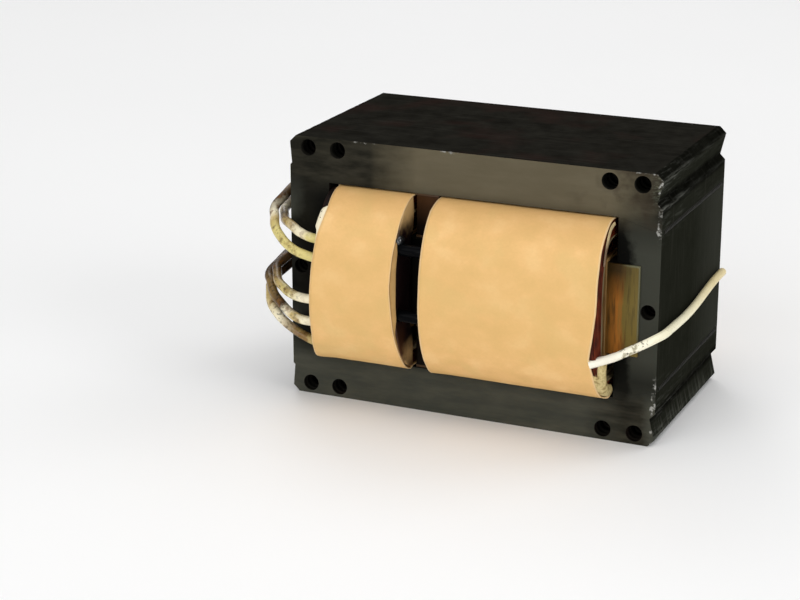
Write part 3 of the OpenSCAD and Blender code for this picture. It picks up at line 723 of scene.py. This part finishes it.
# Tape at the right-hand end: grimy cream below, and brown with a pale torn edge above
dirty_tape, tree, shader = start_material("dirty_paper_tape", {"Specular IOR Level": 0.2, "Roughness": 0.65})
place = add_node(tree, "ShaderNodeTexCoord", {}).outputs["Object"]
grime = add_node(tree, "ShaderNodeTexNoise", {"Vector": place, "Scale": 1 / (2.6 * MM), "Detail": 5.0,
                                              "Roughness": 0.6})
cream = add_node(tree, "ShaderNodeValToRGB", {"Fac": grime.outputs["Fac"]}, stops=(
    (0.30, "#6f5c38"), (0.42, "#b09c68"), (0.56, "#d0be8b"), (0.68, "#ab9762"), (0.78, "#6f5a34"))).outputs[0]
axes = add_node(tree, "ShaderNodeSeparateXYZ", {"Vector": place}).outputs
brown = add_node(tree, "ShaderNodeMix", {0: grime.outputs["Fac"], 6: linear("#4a3522"), 7: linear("#9a826a")},
                 data_type="RGBA").outputs[2]
sheet = add_node(tree, "ShaderNodeUVMap", {}, uv_map="sheet").outputs[0]
across = add_node(tree, "ShaderNodeSeparateXYZ", {"Vector": sheet}).outputs["X"]
torn = add_node(tree, "ShaderNodeMapRange", {"Value": across, "From Min": 0.12, "From Max": 0.05}).outputs[0]
topmost = add_node(tree, "ShaderNodeMapRange", {"Value": axes["Z"], "From Min": 0.0845,
                                                "From Max": 0.0885}).outputs[0]
pale = add_node(tree, "ShaderNodeMath", {0: torn, 1: topmost}, operation="MAXIMUM").outputs[0]
edged = add_node(tree, "ShaderNodeMix", {0: pale, 6: brown, 7: linear("#bda97f")}, data_type="RGBA").outputs[2]
upper = add_node(tree, "ShaderNodeMath", {0: axes["Z"], 1: CORE_MIDDLE.z}, operation="GREATER_THAN").outputs[0]
tape = add_node(tree, "ShaderNodeMix", {0: upper, 6: cream, 7: edged}, data_type="RGBA").outputs[2]
feed(shader, {"Base Color": tape})
RIGHT_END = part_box("right_outer_winding")[1].x
end_fold("right_coil_lower_fold", "right", RIGHT_END + 1.3 * MM, 2.0 * MM, (-31, -90), "inner_winding",
         ((-0.15, 0.58), (0.4, 2.5)), dirty_tape, tuck=3 * MM)
end_fold("right_coil_upper_fold", "right", RIGHT_END + 1.4 * MM, 0.4 * MM, (84, 36), "inner_winding",
         ((0.78, 1.25), (0.3, 0.55)), dirty_tape)

# Outer wraps: kraft paper wound tight round each coil over a thinner liner, glued down at the rear.
# Dip varnish soaked it unevenly, so it is mottled, and its cut edges wander a little.
WRAP_PLY = 0.45 * MM
LINER_PLY = 0.3 * MM

# Liner: kraft browned by varnish, with a clean cream edge at the left-hand end
browned_liner, tree, shader = start_material("browned_kraft_liner", {"Specular IOR Level": 0.2, "Roughness": 0.65})
place = add_node(tree, "ShaderNodeTexCoord", {}).outputs["Object"]
axes = add_node(tree, "ShaderNodeSeparateXYZ", {"Vector": place}).outputs
stain = add_node(tree, "ShaderNodeTexNoise", {"Vector": place, "Scale": 1 / (6 * MM), "Detail": 5.0})
tone = add_node(tree, "ShaderNodeMix", {0: stain.outputs["Fac"], 6: linear("#b8945c"), 7: linear("#7d5c34")},
                data_type="RGBA")
clean = add_node(tree, "ShaderNodeMath", {0: axes["X"], 1: -0.057}, operation="LESS_THAN")
ended = add_node(tree, "ShaderNodeMix", {0: clean.outputs[0], 6: tone.outputs[2], 7: linear("#efe4c6")},
                 data_type="RGBA")
feed(shader, {"Base Color": ended.outputs[2]})

# Kraft under thin varnish: warm tan, softly mottled, with fine fibres and a paler cut edge
kraft, tree, shader = start_material("varnished_kraft_paper", {"Specular IOR Level": 0.2, "Roughness": 0.65})
place = add_node(tree, "ShaderNodeTexCoord", {}).outputs["Object"]
flat_lie = add_node(tree, "ShaderNodeMapping", {"Vector": place, "Scale": (0.75, 1.0, 1.0)})
mottle = add_node(tree, "ShaderNodeTexNoise", {"Vector": flat_lie.outputs[0], "Scale": 1 / (9 * MM), "Detail": 3.0,
                                               "Roughness": 0.5})
tone = add_node(tree, "ShaderNodeValToRGB", {"Fac": mottle.outputs["Fac"]}, stops=(
    (0.33, "#dfb576"), (0.45, "#e3b879"), (0.55, "#e7bb7d"), (0.67, "#ebc285")))
patch_mask = add_node(tree, "ShaderNodeTexNoise", {"Vector": place, "Scale": 1 / (17 * MM), "Detail": 3.0})
soaked = add_node(tree, "ShaderNodeMapRange", {"Value": patch_mask.outputs["Fac"], "From Min": 0.52, "From Max": 0.68,
                                               "To Max": 0.5})
patched = add_node(tree, "ShaderNodeMix", {0: soaked.outputs[0], 6: tone.outputs[0], 7: linear("#d9b878")},
                   data_type="RGBA")
fibre = add_node(tree, "ShaderNodeTexNoise", {"Vector": flat_lie.outputs[0], "Scale": 1 / (0.9 * MM),
                                              "Detail": 3.0})
fleck = add_node(tree, "ShaderNodeMapRange", {"Value": fibre.outputs["Fac"], "From Min": 0.3, "From Max": 0.7,
                                              "To Min": 0.0, "To Max": 0.1})
flecked = add_node(tree, "ShaderNodeMix", {0: fleck.outputs[0], 6: patched.outputs[2], 7: linear("#b98d4e")},
                   data_type="RGBA")
axes = add_node(tree, "ShaderNodeSeparateXYZ", {"Vector": place}).outputs
browned = add_node(tree, "ShaderNodeMapRange", {"Value": axes["Z"], "From Min": 0.083, "From Max": 0.092,
                                                "To Max": 0.25}).outputs[0]
toned_by_place = add_node(tree, "ShaderNodeMix", {0: browned, 6: flecked.outputs[2], 7: linear("#b98a4e")},
                   data_type="RGBA").outputs[2]
# Painted shade: the paper is a little darker at mid-height, where less light reaches than on the upper curve
rise = add_node(tree, "ShaderNodeMapRange", {"Value": axes["Z"], "From Min": COIL_FOOT_MM * MM,
                                             "From Max": COIL_TOP_MM * MM}).outputs[0]
mid_height_shade = add_node(tree, "ShaderNodeValToRGB", {"Fac": rise}, stops=(
    (0.12, 0), (0.32, 0.301), (0.68, 0.301), (0.85, 0))).outputs[0]
toned_by_place = add_node(tree, "ShaderNodeMix", {0: mid_height_shade, 6: toned_by_place, 7: linear("#cba666")}, data_type="RGBA").outputs[2]
sheet = add_node(tree, "ShaderNodeUVMap", {}, uv_map="sheet").outputs[0]
across = add_node(tree, "ShaderNodeSeparateXYZ", {"Vector": sheet}).outputs["X"]
from_middle = add_node(tree, "ShaderNodeMath", {0: across, 1: -0.5}, operation="ADD").outputs[0]
aside = add_node(tree, "ShaderNodeMath", {0: from_middle}, operation="ABSOLUTE").outputs[0]
cut = add_node(tree, "ShaderNodeMapRange", {"Value": aside, "From Min": 0.490, "From Max": 0.494,
                                            "To Max": 0.3}).outputs[0]
edged = add_node(tree, "ShaderNodeMix", {0: cut, 6: toned_by_place, 7: linear("#f6e3c0")}, data_type="RGBA").outputs[2]
grain = add_node(tree, "ShaderNodeBump", {"Height": fibre.outputs["Fac"], "Strength": 0.08, "Distance": 0.1 * MM})
feed(shader, {"Base Color": edged, "Normal": grain.outputs[0]})

# Where each sheet's edges run on the front, as (height, place along the core) in mm from the top down
WRAP_EDGES = {
    "left": (((95, -58.8), (88, -58.6), (83, -59.5), (77, -61.0), (61, -62.5), (34, -64.4), (20.6, -67.2),
              (19.5, -64)),
             ((95, -24.4), (88, -24.9), (75, -25.9), (60, -26.7), (41, -25.9), (20, -25.0))),
    "right": (((95, -12.9), (91, -13.7), (60, -13.9), (20, -14.6)),
              ((95, 61.7), (91.7, 61.8), (84, 61.6), (77.5, 61.9), (70.8, 62.1), (66.5, 62.3), (60.5, 62.2),
               (54.2, 61.5), (47.6, 60.5), (40.1, 59.2), (36.6, 59.7), (33.3, 60.1), (24.8, 60.2),
               (20.5, 60.6), (19.5, 62.5))),
}
LINER_EDGES = {
    "left": (((95, -58.9), (88, -58.8), (87.4, -61.2), (80, -62.4), (79, -61.4), (61, -62.2), (20, -63)),
             ((95, -24.8), (80, -25.4), (74, -24.2), (46, -24.0), (38, -25.5), (20, -25.0))),
    "right": (((95, -12.8), (60, -13.4), (20, -14.0)),
              ((95, 61.4), (60, 61.8), (54, 61.0), (41, 58.8), (24, 59.8), (19.5, 62.2))),
}
for coil in ("left", "right"):
    shell = shell_of(coil, "wrap")
    low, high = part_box(f"{coil}_wrap")
    drawn = WRAP_EDGES[coil]
    edges = edge_line(low.x, 0.15 * MM, 1, drawn[0]), edge_line(high.x, 0.15 * MM, 5, drawn[1])
    wound_sheet(f"{coil}_kraft_wrap", shell, edges, WRAP_PLY, 0.12 * MM, kraft, "kraft_wrap", f"{coil}_wrap",
                lap=0.06, sag=0.8 * MM, corner_lift=0.5 * MM if coil == "left" else 0.2 * MM)
    drawn = LINER_EDGES[coil]
    edges = edge_line(low.x, 0.3 * MM, 21, drawn[0]), edge_line(high.x, 0.3 * MM, 25, drawn[1])
    wound_sheet(f"{coil}_wrap_liner", shell - np.array((0.65, 0.65, 0)) * MM, edges, LINER_PLY, 0.04 * MM,
                browned_liner, "kraft_wrap")

# Insulating strips: thin pressboard laid on the tongue's front and rear before the coils went on.
# Varnish soaked in along the board's grain, so it is glassy, amber and olive in upright streaks.
strip_board, tree, shader = start_material("varnish_soaked_pressboard", {"Specular IOR Level": 0.2,
                                                                         "Roughness": 0.35})
place = add_node(tree, "ShaderNodeTexCoord", {}).outputs["Object"]
axes = add_node(tree, "ShaderNodeSeparateXYZ", {"Vector": place}).outputs
grain = add_node(tree, "ShaderNodeMapping", {"Vector": place, "Scale": (1 / (1.4 * MM), 1.0, 1 / (16 * MM))})
streak = add_node(tree, "ShaderNodeTexNoise", {"Vector": grain.outputs[0], "Scale": 1.0, "Detail": 5.0,
                                               "Roughness": 0.6}).outputs["Fac"]
along = add_node(tree, "ShaderNodeMapRange", {"Value": axes["X"], "From Min": 0.058, "From Max": 0.074}).outputs[0]
drift = add_node(tree, "ShaderNodeMapRange", {"Value": streak, "To Min": -0.3, "To Max": 0.3}).outputs[0]
spot = add_node(tree, "ShaderNodeMath", {0: along, 1: drift}, operation="ADD").outputs[0]
tone = add_node(tree, "ShaderNodeValToRGB", {"Fac": spot}, stops=(
    (0.15, "#7d5523"), (0.44, "#a46524"), (0.6, "#6f5e29")))
# Painted shadow: the upper part goes darker, and near black beside the coil, where the coil's shadow falls
upper = add_node(tree, "ShaderNodeMapRange", {"Value": axes["Z"], "From Min": 0.060, "From Max": 0.073,
                                              "To Max": 0.95}).outputs[0]
inner = add_node(tree, "ShaderNodeMapRange", {"Value": axes["X"], "From Min": 0.0705, "From Max": 0.0655,
                                              "To Min": 0.35}).outputs[0]
patch_mask = add_node(tree, "ShaderNodeMath", {0: upper, 1: inner}, operation="MULTIPLY").outputs[0]
shaded = add_node(tree, "ShaderNodeMix", {0: patch_mask, 6: tone.outputs[0], 7: linear("#2c220b")},
                  data_type="RGBA").outputs[2]
dark_run = add_node(tree, "ShaderNodeMapRange", {"Value": streak, "From Min": 0.5, "From Max": 0.34,
                                                 "To Max": 0.6}).outputs[0]
run = add_node(tree, "ShaderNodeMix", {0: dark_run, 6: shaded, 7: linear("#2f2610")}, data_type="RGBA").outputs[2]
right_rim = add_node(tree, "ShaderNodeMapRange", {"Value": axes["X"], "From Min": 0.0728,
                                                  "From Max": 0.0733}).outputs[0]
top_rim = add_node(tree, "ShaderNodeMapRange", {"Value": axes["Z"], "From Min": 0.0751,
                                                "From Max": 0.0757}).outputs[0]
clear_top = add_node(tree, "ShaderNodeMapRange", {"Value": axes["X"], "From Min": 0.066,
                                                  "From Max": 0.070}).outputs[0]
clear_side = add_node(tree, "ShaderNodeMapRange", {"Value": axes["Z"], "From Min": 0.042,
                                                   "From Max": 0.048}).outputs[0]
top_rim = add_node(tree, "ShaderNodeMath", {0: top_rim, 1: clear_top}, operation="MULTIPLY").outputs[0]
right_rim = add_node(tree, "ShaderNodeMath", {0: right_rim, 1: clear_side}, operation="MULTIPLY").outputs[0]
rim = add_node(tree, "ShaderNodeMath", {0: right_rim, 1: top_rim}, operation="MAXIMUM").outputs[0]
rimmed = add_node(tree, "ShaderNodeMix", {0: rim, 6: run, 7: linear("#66644a")}, data_type="RGBA").outputs[2]
feed(shader, {"Base Color": rimmed})
for name in ("front_strip", "rear_strip"):
    add_piece(name + "_board", rounded_copy(name, 0.2 * MM), strip_board, "strip_board", name)

# Jumpers: the finish of one coil joined to the start of the next, under shrunk black sleeves.
# The sleeve is glossy and follows the joint inside.
sleeve, tree, shader = start_material("glossy_black_sleeve", {"Specular IOR Level": 0.03, "Roughness": 0.2})
place = add_node(tree, "ShaderNodeTexCoord", {}).outputs["Object"]
grey_drift = add_node(tree, "ShaderNodeTexNoise", {"Vector": place, "Scale": 1 / (4 * MM), "Detail": 3.0})
tone = add_node(tree, "ShaderNodeMix", {0: grey_drift.outputs["Fac"], 6: linear("#030304"), 7: linear("#08090b")},
                data_type="RGBA")
feed(shader, {"Base Color": tone.outputs[2]})
for name in ("upper_jumper", "lower_jumper"):
    finish_node(name, sleeve)

# The upper jumper's soldered joint is a lump under its sleeve, beside the left coil's wrap
JOINT_MM = (-24.7, -58.0, 78.2)
JOINT_HALF_MM = (1.8, 2.8, 2.4)
bm = bmesh.new()
bmesh.ops.create_uvsphere(bm, u_segments=32, v_segments=20, radius=MM,
                          matrix=Matrix.Translation(Vector(JOINT_MM) * MM) @ Matrix.Diagonal((*JOINT_HALF_MM, 1)))
# Sleeve shrunk tight over the joint: black, and shinier than along the jumper
joint_sleeve, tree, shader = start_material("shrunk_joint_sleeve", {"Roughness": 0.3, "Coat Weight": 1.0,
                                                                    "Coat Roughness": 0.1})
place = add_node(tree, "ShaderNodeTexCoord", {}).outputs["Object"]
grey_drift = add_node(tree, "ShaderNodeTexNoise", {"Vector": place, "Scale": 1 / (2 * MM), "Detail": 3.0})
tone = add_node(tree, "ShaderNodeMix", {0: grey_drift.outputs["Fac"], 6: linear("#050607"), 7: linear("#14171a")},
                data_type="RGBA")
feed(shader, {"Base Color": tone.outputs[2]})
joint = add_piece("upper_jumper_joint", bm, joint_sleeve, "jumper_sleeve")
joint.data.shade_smooth()

# Leads: stranded copper in a cream jacket, brought out of the coils' ends and cut off short.
# The left ones went through the varnish bath and are yellowed, brown in patches and glossy.
LEAD_D = {name: (3.5 if name == "lead_6" else 4) * MM for name in sorted(nodes) if name.startswith("lead_")}
STRAND_D = 0.8 * MM
STRAND_PROUD = 0.25 * MM
LEAD_RUN_MM = 124
# Points that each lead runs through, in mm from the coil outwards
ROUTES = {
    "lead_1": ((-61, -58.5, 74.5), (-66, -58, 75), (-71, -56.5, 76), (-76, -53, 77), (-80.5, -48.5, 77),
               (-84.5, -43.5, 76.5), (-87.5, -38.2, 76.6), (-90.6, -31.5, 77.9), (-89.5, -24.5, 80.6),
               (-88.5, -16, 83), (-86.5, -5, 84.5), (-85.5, 8, 84.5), (-85.5, 21, 84), (-85.5, 34, 83.5)),
    "lead_2": ((-61, -60, 66.5), (-66, -60.5, 67.6), (-71, -60, 68.7), (-76, -58, 70.2), (-81, -55, 72.6),
               (-85.5, -51, 75.4), (-88, -46.6, 78.1), (-90.6, -41, 80.9), (-89, -35, 84.6), (-88, -27, 87.5),
               (-86, -16, 89.5), (-85, -1, 90), (-85, 15, 89.5), (-85, 31, 89)),
    "lead_3": ((-61, -60, 48.5), (-66, -60, 48.5), (-71, -59, 48.5), (-76, -57, 49), (-80.5, -54, 50),
               (-85, -50, 51), (-88, -45.1, 52.6), (-90.6, -39.5, 54.4), (-89, -33, 57.1), (-88, -24.5, 60),
               (-86, -13, 63), (-85, 2, 64), (-85, 17, 63.5), (-85, 32, 63)),
    "lead_4": ((-61, -58.5, 38.5), (-66, -58.5, 38.2), (-71.5, -58, 38.6), (-77, -56, 40.1), (-82.5, -53, 42.6),
               (-87.5, -49.5, 45.2), (-91, -45.1, 48.1), (-94.6, -39.5, 50.4), (-93.4, -33, 53.6), (-92, -25, 56.5),
               (-88.5, -13, 58.5), (-86, 2, 59), (-85.5, 18, 58.5), (-85.5, 34, 58)),
    "lead_5": ((-61, -51, 25.5), (-65.5, -52, 26.8), (-70, -53.5, 29), (-74.5, -54.5, 31.6), (-79.5, -54.5, 34.6),
               (-84.5, -52.5, 37.5), (-89, -49, 40.3), (-92, -44.1, 43.1), (-94.6, -37.5, 46.4), (-92.5, -29, 50.1),
               (-90, -18, 53), (-87, -3, 54), (-86, 14, 53.5), (-86, 31, 53)),
    "lead_6": ((61, -59, 39), (65.5, -60.5, 40.8), (70, -61, 43), (74.5, -60, 45.5), (79, -57, 47.6),
               (82.5, -52, 49), (84.3, -45, 49.2), (84.2, -36, 48.6), (84, -25, 47.9), (83.8, -12, 47.4),
               (83.8, 1, 48), (83.8, 14, 49.4), (83.8, 27, 50.6), (83.8, 40, 50.9)),
}


def lead_jacket(name, tones, stained, stains, sockets):
    """Extruded jacket under runs of varnish: tones and amounts of stain go by the distance in mm from the coil."""
    made, tree, shader = start_material(name, sockets)
    place = add_node(tree, "ShaderNodeTexCoord", {}).outputs["Object"]
    axes = add_node(tree, "ShaderNodeSeparateXYZ", {"Vector": place}).outputs
    film = add_node(tree, "ShaderNodeTexNoise", {"Vector": place, "Scale": 1 / (4 * MM), "Detail": 4.0,
                                                 "Roughness": 0.6}).outputs["Fac"]
    drift = add_node(tree, "ShaderNodeMapRange", {"Value": film, "To Min": -7 * MM, "To Max": 7 * MM}).outputs[0]
    # Sideways place plus depth grows steadily along every lead
    aside = add_node(tree, "ShaderNodeMath", {0: axes["X"]}, operation="ABSOLUTE").outputs[0]
    run = add_node(tree, "ShaderNodeMath", {0: axes["Y"], 1: aside}, operation="ADD").outputs[0]
    wavering = add_node(tree, "ShaderNodeMath", {0: run, 1: drift}, operation="ADD").outputs[0]
    spot = add_node(tree, "ShaderNodeMapRange", {"Value": wavering, "From Max": LEAD_RUN_MM * MM}).outputs[0]
    tone, amount = [add_node(tree, "ShaderNodeValToRGB", {"Fac": spot},
                             stops=[(mm / LEAD_RUN_MM, value) for mm, value in stops]).outputs[0]
                    for stops in (tones, stained)]
    coat = tone
    # Pools and spots of stain: size in mm, share of the noise they take and strength
    for (size, least, strength), colour in zip(((4.0, 0.52, 0.85), (1.6, 0.55, 0.92)), stains):
        pool = add_node(tree, "ShaderNodeTexNoise", {"Vector": place, "Scale": 1 / (size * MM), "Detail": 4.0,
                                                     "Roughness": 0.55}).outputs["Fac"]
        darkening_mask = add_node(tree, "ShaderNodeMapRange", {"Value": pool, "From Min": least, "From Max": least + 0.07,
                                                       "To Max": strength}).outputs[0]
        held = add_node(tree, "ShaderNodeMath", {0: darkening_mask, 1: amount}, operation="MULTIPLY").outputs[0]
        coat = add_node(tree, "ShaderNodeMix", {0: held, 6: coat, 7: linear(colour)}, data_type="RGBA").outputs[2]
    drips = add_node(tree, "ShaderNodeBump", {"Height": film, "Strength": 0.5, "Distance": 0.8 * MM})
    feed(shader, {"Base Color": coat, "Normal": drips.outputs[0]})
    return made


# Cream insulation under one varnish, from bare to thick, and the clean lead's own tones
JACKET_TONES = {"bare": "#efe5c6", "yellow": "#d4c57e", "tan": "#bfa76b", "brown": "#7c643a", "thick": "#463422",
                "fresh": "#faf3d1", "greyed": "#f2eddc", "aged": "#e6d4a0"}
# Where each tone is reached along a lead, by the distance in mm; at the kinks of leads 1 and 2 the bare tone is a
# painted highlight
LEAD_TONES = {
    "lead_1": ((4, "yellow"), (12, "bare"), (28, "tan"), (48, "brown"), (56, "bare"), (63, "thick"), (100, "tan")),
    "lead_2": ((6, "yellow"), (30, "yellow"), (36, "tan"), (42, "bare"), (52, "thick"), (98, "tan")),
    "lead_3": ((8, "bare"), (20, "yellow"), (28, "tan"), (40, "brown"), (50, "thick"), (78, "thick"), (96, "tan")),
    "lead_4": ((8, "bare"), (14, "tan"), (20, "bare"), (26, "thick"), (36, "brown"), (46, "brown"), (54, "thick"),
               (78, "thick"), (96, "tan")),
    "lead_5": ((12, "tan"), (18, "brown"), (27, "bare"), (42, "tan"), (52, "tan"), (58, "thick"), (78, "thick"),
               (96, "tan")),
    "lead_6": ((4, "greyed"), (40, "fresh"), (64, "fresh"), (108, "aged")),
}
# How much stain there is along a lead, from 0 to 1, by the same distance
YELLOWED = ((4, 0.117), (12, 0.456), (30, 0.456), (45, 0.716), (60, 0.434), (124, 0.279))
BROWNED = ((6, 0.03), (11, 0.456), (22, 0.631), (50, 0.631), (60, 0.434), (124, 0.279))
KEPT_CLEAN = ((9, 0), (13, 1), (21, 0.745), (27, 0.005), (40, 0.014), (46, 0.162), (56, 0.03), (124, 0.051))
VARNISHED = ("#74491a", "#24170c"), {"Specular IOR Level": 0.15, "Roughness": 0.25, "Coat Weight": 0.18,
                                     "Coat Roughness": 0.06}
CLEAN = ("#7d7550", "#3a3622"), {"Roughness": 0.4}
# Each lead: how much stain it took, and the stains' colours and the gloss over them
STAINED = {"lead_1": (YELLOWED, *VARNISHED), "lead_2": (YELLOWED, *VARNISHED), "lead_3": (BROWNED, *VARNISHED),
           "lead_4": (BROWNED, *VARNISHED), "lead_5": (BROWNED, *VARNISHED), "lead_6": (KEPT_CLEAN, *CLEAN)}
JACKETS = {name: lead_jacket(name + "_jacket", [(mm, JACKET_TONES[tone]) for mm, tone in LEAD_TONES[name]],
                             *stained) for name, stained in STAINED.items()}

# Cut copper: tarnished, and brighter in spots
copper, tree, shader = start_material("cut_copper", {"Metallic": 0.9, "Roughness": 0.4})
place = add_node(tree, "ShaderNodeTexCoord", {}).outputs["Object"]
tarnish = add_node(tree, "ShaderNodeTexNoise", {"Vector": place, "Scale": 1 / (0.6 * MM), "Detail": 2.0})
tone = add_node(tree, "ShaderNodeMix", {0: tarnish.outputs["Fac"], 6: linear("#6b3a22"), 7: linear("#c8875c")},
                data_type="RGBA")
feed(shader, {"Base Color": tone.outputs[2]})


def lead_curve(name, route, lead, steps):
    """A length of lead as one round curve through a route in mm, in its jacket."""
    curve = bpy.data.curves.new(name, "CURVE")
    curve.dimensions = "3D"
    curve.bevel_depth = LEAD_D[lead] / 2
    curve.bevel_resolution = 5
    curve.resolution_u = steps
    curve.use_fill_caps = True
    spline = curve.splines.new("BEZIER")
    spline.bezier_points.add(len(route) - 1)
    for point, place in zip(spline.bezier_points, route):
        point.co = Vector(place) * MM
        point.handle_left_type = point.handle_right_type = "AUTO"
    curve.materials.append(JACKETS[lead])
    piece = bpy.data.objects.new(name, curve)
    scene.collection.objects.link(piece)
    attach(piece, "root")
    return piece


# The right-hand lead comes out from under a notch in the wrap, so its root shows on the winding
ROOT_MM = ((59.0, -61.5, 38.2), (61.6, -60.8, 39.1), (65.5, -60.6, 40.8), (70, -61, 43))
lead_curve("lead_6_root", ROOT_MM, "lead_6", 12)

for name, route in ROUTES.items():
    cord = lead_curve(name + "_cord", route, name, 8)
    slot = "cream_lead" if name == "lead_6" else "varnished_lead"
    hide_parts(name)

    tip = Vector(route[-1]) * MM
    turn = (tip - Vector(route[-2]) * MM).to_track_quat("Z", "Y").to_matrix().to_4x4()
    bm = bmesh.new()
    for k in range(7):
        spot = Vector((0, 0, 0)) if k == 0 else Matrix.Rotation(k * math.pi / 3, 3, "Z") @ Vector((STRAND_D, 0, 0))
        bmesh.ops.create_cone(bm, cap_ends=True, segments=12, radius1=STRAND_D / 2, radius2=STRAND_D / 2,
                              depth=2 * STRAND_PROUD,
                              matrix=Matrix.Translation(tip) @ turn @ Matrix.Translation(spot))
    strands = add_piece(name + "_strands", bm, copper, slot)
